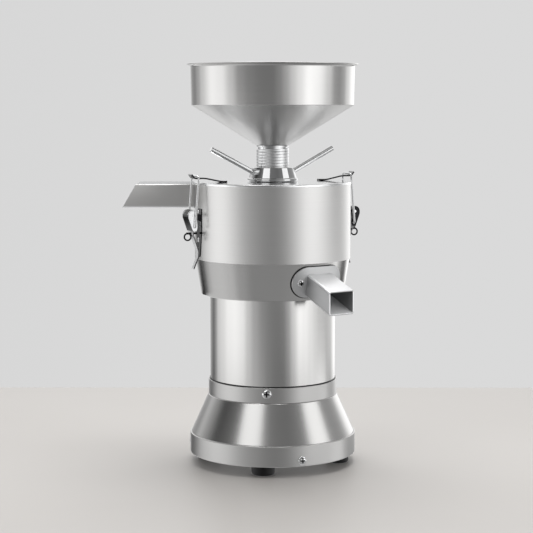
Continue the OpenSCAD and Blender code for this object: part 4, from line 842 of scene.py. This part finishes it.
# motor stack: plain bands round a cone
def band(size):
    inner, outer, z0, z1 = (size[key] for key in ("inner", "outer", "zFoot", "zTop"))
    return turned([(inner, z0), (outer, z0), (outer, z1), (inner, z1)], size["rounds"], size["steps"])


motorSet = {"inner": 85.6, "outer": 87.2, "zFoot": 97.0, "zTop": 235.8, "rounds": [(0.3, [1, 2])], "steps": 180}
placed(band(motorSet), "motorShell", bodySteel, "housing", ["motor_housing"])

collarSet = {"inner": 88.1, "outer": 89.4, "zFoot": 96.0, "zTop": 117.2, "rounds": [(0.45, [1, 2])], "steps": 180}
placed(band(collarSet), "collarBand", bandSteel, "housing", ["collar"])

# black rubber band filling the gap between motor and collar, standing 1.4 mm above the collar
gapBandSet = {"inner": 87.25, "outer": 88.05, "zFoot": 112.0, "zTop": 118.6, "rounds": [(0.2, [2])], "steps": 180}
placed(band(gapBandSet), "collarGapBand", blackRubber, "housing")

coneSet = {"skirt": 113.5, "skirtIn": 1.7, "top": 89.6, "topIn": 0.9, "ledge": 79.0, "sheet": 1.6, "footDown": 0.3,
           "zSkirt": 36.5, "zFoot": 42.5, "zTop": 96.0, "rounds": [(1.2, [1, 2])], "steps": 200}
q = coneSet
bore, under = q["skirt"] - q["skirtIn"], q["zTop"] - q["sheet"]
placed(turned([
    (q["skirt"], q["zSkirt"]), (q["skirt"], q["zFoot"]), (q["top"], q["zTop"]), (q["ledge"], q["zTop"]),
    (q["ledge"], under), (q["top"] - q["topIn"], under), (bore, q["zFoot"] - q["footDown"]), (bore, q["zSkirt"])],
    q["rounds"], q["steps"]), "baseCone", coneSteel, "housing", ["base_cone"])

ringSet = {"inner": 113.6, "outer": 115.4, "zFoot": 14.5, "zTop": 42.5, "rounds": [(0.9, [1]), (0.6, [2])],
           "steps": 200}
placed(band(ringSet), "baseBand", bandSteel, "housing", ["base_ring"])
print("bowl, motor and base made")

# rubber feet, hollow for their screws
footSet = {"count": 4, "azimuth": 262.0, "circle": 91.0, "radius": 16.0, "taper": 0.6, "taperH": 3.0, "high": 14.5,
           "hole": 6.2, "screw": 2.8, "floor": 9.5, "steps": 64, "rounds": [(1.6, [1]), (0.8, [2]), (0.6, [3, 0])]}
u = footSet
feet = []
for i in range(u["count"]):
    foot = turned([(u["hole"], 0), (u["radius"] - u["taper"], 0), (u["radius"], u["taperH"]), (u["radius"], u["high"]),
                   (u["screw"], u["high"]), (u["screw"], u["floor"]), (u["hole"], u["floor"])], u["rounds"], u["steps"])
    feet.append(swung(foot, u["azimuth"] + 360 / u["count"] * i, u["circle"]))
placed(merged(*feet), "rubberFeet", blackRubber, "housing", ["feet"])
print("feet made")

# domed screws with cross slots in painted shade; sizes are head, height and length, bands give the first angle and
# height up
screwSet = {"sizes": {"collar": (13.0, 3.6, 6.0), "baseRing": (11.6, 3.4, 6.0), "spout": (9.8, 3.2, 7.0)},
            "shank": 2.4, "rim": 0.3, "soft": 0.3, "slot": 1.0, "slotReach": 0.6, "deep": 1.5, "gap": 0.05, "steps": 40,
            "bands": {"collar": (collarSet, 265, 13.0, "collar_screws"),
                      "baseRing": (ringSet, 290, 8.5, "base_ring_screws")},
            "perBand": 3, "flangeOut": 28.5, "flangeDown": 0.5, "flangeGap": 0.1}


def panScrew(head, high, long):
    k = screwSet
    edge, rim = head / 2, high * k["rim"]
    dome = [(edge * cos(radians(a)), rim + (high - rim) * sin(radians(a))) for a in range(10, 90, 10)]
    bm = outline([(0, -long), (k["shank"], -long), (k["shank"], 0), (edge, 0), (edge, rim)] + dome + [(0, high)],
                 [(k["soft"], [3])], closed=False)
    joined(spun(bm, k["steps"]))
    wide, reach = k["slot"], edge * k["slotReach"]
    for cut in (-reach, -wide, wide, reach):
        sliced(bm, ((cut, 0, 0), (1, 0, 0)), ((0, cut, 0), (0, 1, 0)))
    slot = []
    for face in bm.faces:
        spot = face.calc_center_median() / mm
        small, big = sorted((abs(spot.x), abs(spot.y)))
        if spot.z > rim and small < wide and big < reach:
            slot.append(face)
    sunk = bmesh.ops.extrude_face_region(bm, geom=slot)
    bmesh.ops.translate(bm, verts=newVerts(sunk), vec=(0, 0, -k["deep"] * mm))
    bmesh.ops.delete(bm, geom=slot, context="FACES")
    floors = [face for face in sunk["geom"] if isinstance(face, bmesh.types.BMFace)]
    # painted shade in the slot
    for face in floors + [side for base in floors for e in base.edges for side in e.link_faces]:
        face.material_index = 1
    return bm


def screwRow(kind, node, spots):
    # spots give the angle, distance, height and tilt of each
    row = []
    for angle, out, z, tilt in spots:
        screw = panScrew(*screwSet["sizes"][kind])
        bmesh.ops.rotate(screw, verts=screw.verts, cent=(0, 0, 0), matrix=Matrix.Rotation(radians(90 + tilt), 3, "Y"))
        bmesh.ops.translate(screw, verts=screw.verts, vec=(0, 0, z * mm))
        row.append(swung(screw, angle, out))
    placed(merged(*row), kind + "Screws", [screwSteelAndMouthHighlight, blackPinAndPaintedShade], "housing", [node], sharp=40)


k = screwSet
for kind, (size, start, up, node) in k["bands"].items():
    turns = [start + 360 / k["perBand"] * i for i in range(k["perBand"])]
    screwRow(kind, node, [(angle, size["outer"] + k["gap"], size["zFoot"] + up, 0) for angle in turns])
lean = atan2(b["top"] - b["floor"], b["zTop"] - b["zFloor"])
wallR = bowlWall(p["zFlange"])
swing = degrees(asin(k["flangeOut"] / wallR))
out = wallR + (p["pad"] + p["flangeT"] + k["flangeGap"]) * cos(lean)
screwRow("spout", "spout_screws", [(p["azimuth"] + side * swing, out, p["zFlange"] - k["flangeDown"], degrees(lean))
                                   for side in (-1, 1)])
print("screws made")

# finishes of the CAD nodes that stay
stays = {
    bodySteel: ["pulp_shelf", "lid_sleeve", "filter_basket", "filter_screen", "stone_holder"],
    sheetSteel: ["capacitor_clip", "foot_screws"],
    smallSteel: ["latch_rivets", "latch_pins", "bowl_bolts", "holder_screws", "stone_nut"],
    polishedSteel: ["motor_shaft", "lower_bearing_outer", "upper_bearing_outer", "lower_bearing_inner",
                    "upper_bearing_inner", "feed_tube"],
    blackRubber: ["shaft_seal", "lid_gasket"],
    blackPlastic: ["run_capacitor", "cooling_fan", "cable_gland", "switch_frame", "switch_rocker"],
    laminations: ["stator_core", "rotor_core"],
    windings: ["stator_windings"],
    castAlloy: ["lower_end_bell", "upper_end_bell", "rotor_end_rings", "base_pan"],
    grindStone: ["lower_stone", "upper_stone"],
}
for finish, names in stays.items():
    for name in names:
        mesh = nodes[name].data
        mesh.materials.clear()
        mesh.materials.append(finish)
print("finishes set")

# pale floor, soft light round about
floorSet = {"half": 0.62, "front": -0.46, "back": 0.56, "tone": (0.55, 0.527, 0.504)}
bm = bmesh.new()
bmesh.ops.create_grid(bm, x_segments=1, y_segments=1, size=0.5)
bmesh.ops.scale(bm, verts=bm.verts, vec=(2 * floorSet["half"], floorSet["back"] - floorSet["front"], 1))
bmesh.ops.translate(bm, verts=bm.verts, vec=(0, (floorSet["back"] + floorSet["front"]) / 2, 0))
mesh = bpy.data.meshes.new("floor")
bm.to_mesh(mesh)
bm.free()
floor = bpy.data.objects.new("floor", mesh)
scene.collection.objects.link(floor)
floorTone = grainFinish("floorTone", {
    "grain": 900.0, "clouds": 3.0, "rough": (0.45, 0.5), "bump": 0.02,
    "dark": floorSet["tone"], "light": floorSet["tone"]})
mesh.materials.append(floorTone)
floor.visible_glossy = False  # the steel mirrors the room below instead

worldSet = {  # brightness of the room at five heights, by degrees from the camera's side, right positive
    "ground": {-180: 1.1, -150: 0.9, -120: 0.7, -90: 0.72, -70: 0.64, -52: 0.42, -30: 0.3, 0: 0.31, 60: 0.36, 120: 0.4,
               150: 0.7, 180: 1.1},
    "below": {-180: 0.70, -168: 0.68, -157: 0.0, -146: 0.0, -132: 0.1, -119: 0.38, -107: 0.62, -81: 0.68, -67: 0.6,
              -53: 0.48, -35: 0.64, -22: 0.6, -8: 0.3, 6: 0.16, 29: 0.06, 42: 0.06, 55: 0.3, 68: 0.62, 82: 1.2,
              98: 1.95, 110: 1.8, 121: 0.6, 132: 0.1, 146: 0.0, 157: 0.0, 168: 0.68, 180: 0.70},
    "low": {-180: 0.70, -168: 0.68, -152: 0.36, -138: 0.20, -128: 0.45, -118: 0.95, -104: 1.1, -87: 1.45, -70: 1.58,
            -56: 1.5, -45: 1.0, -33: 0.6, -18: 0.36, 0: 0.29, 12: 0.26, 20: 0.28, 28: 0.5, 38: 1.08, 50: 1.7, 62: 1.55,
            74: 1.25, 84: 0.98, 94: 0.74, 112: 0.68, 132: 0.85, 148: 1.4, 160: 1.5, 166: 1.0, 170: 0.70, 180: 0.70},
    "level": {-180: 0.70, -168: 0.68, -152: 0.36, -141: 0.3, -128: 0.5, -116: 0.8, -94: 1.35, -76: 1.2, -60: 0.62,
              -48: 0.24, -31: 0.19, -15: 0.19, 0: 0.21, 10: 0.35, 18: 0.6, 28: 0.98, 37: 1.2, 52: 1.55, 67: 1.3,
              84: 0.8, 98: 0.38, 106: 0.34, 116: 0.48, 129: 0.95, 144: 1.4, 160: 1.5, 166: 1.0, 170: 0.70, 180: 0.70},
    "high": {-180: 1.2, -150: 1.1, -136: 0.8, -114: 0.35, -94: 0.05, -74: 0.12, -50: 0.3, -20: 0.24, 0: 0.2, 25: 0.18,
             50: 0.24, 80: 0.3, 108: 0.34, 130: 0.42, 145: 1.1, 180: 1.2}}
worldSteps = {"below": (-0.3, -0.25), "low": (-0.2, -0.17), "level": (-0.1, -0.035), "high": (0.07, 0.2)}
worldStrength = 2.0
world = bpy.data.worlds.new("room")
scene.world = world
world.use_nodes = True
tree = world.node_tree
coords = tree.nodes.new("ShaderNodeTexCoord")
split = tree.nodes.new("ShaderNodeSeparateXYZ")
tree.links.new(coords.outputs["Generated"], split.inputs[0])
azimuth = mathNode(tree, "ARCTAN2", split.outputs[0], mathNode(tree, "MULTIPLY", split.outputs[1], -1.0))
place = mathNode(tree, "ADD", mathNode(tree, "DIVIDE", azimuth, 2 * pi), 0.5)


def roomBand(spots):
    ramp = tree.nodes.new("ShaderNodeValToRGB")
    ramp.color_ramp.interpolation = "EASE"
    stops = ramp.color_ramp.elements
    spots = sorted(spots.items())
    stops[0].position, stops[1].position = 0.0, 1.0
    for angle, bright in spots[1:-1]:
        stops.new((angle + 180) / 360)
    for stop, (angle, bright) in zip(stops, spots):
        tone = bright / worldStrength
        stop.color = (tone, tone, tone, 1)
    tree.links.new(place, ramp.inputs[0])
    return ramp.outputs[0]


def roomStep(lower, upper, start, end):
    rise = tree.nodes.new("ShaderNodeMapRange")
    rise.inputs["From Min"].default_value = start
    rise.inputs["From Max"].default_value = end
    tree.links.new(split.outputs[2], rise.inputs["Value"])
    blend = tree.nodes.new("ShaderNodeMix")
    blend.data_type = "RGBA"
    tree.links.new(rise.outputs[0], blend.inputs[0])
    tree.links.new(lower, blend.inputs[6])
    tree.links.new(upper, blend.inputs[7])
    return blend.outputs[2]


walls = roomBand(worldSet["ground"])
for height, (start, end) in worldSteps.items():
    walls = roomStep(walls, roomBand(worldSet[height]), start, end)
shade = tree.nodes["Background"]
shade.inputs["Strength"].default_value = worldStrength
tree.links.new(walls, shade.inputs["Color"])

lampSet = [("overLamp", (0, 0.2, 2.3), 1.5, 36.0), ("leftLamp", (-1.07, -1.51, 1.5), 1.25, 5.4),
           ("rightLamp", (2.0, -0.6, 1.25), 1.25, 5.4)]  # place, size, watts
lampAim = Vector((0, 0, 0.25))
for name, spot, size, power in lampSet:
    lamp = bpy.data.lights.new(name, "AREA")
    lamp.shape = "SQUARE"
    lamp.size = size
    lamp.energy = power
    lampObj = bpy.data.objects.new(name, lamp)
    lampObj.location = spot
    lampObj.rotation_euler = (lampAim - Vector(spot)).to_track_quat("-Z", "Y").to_euler()
    scene.collection.objects.link(lampObj)
print("light set")
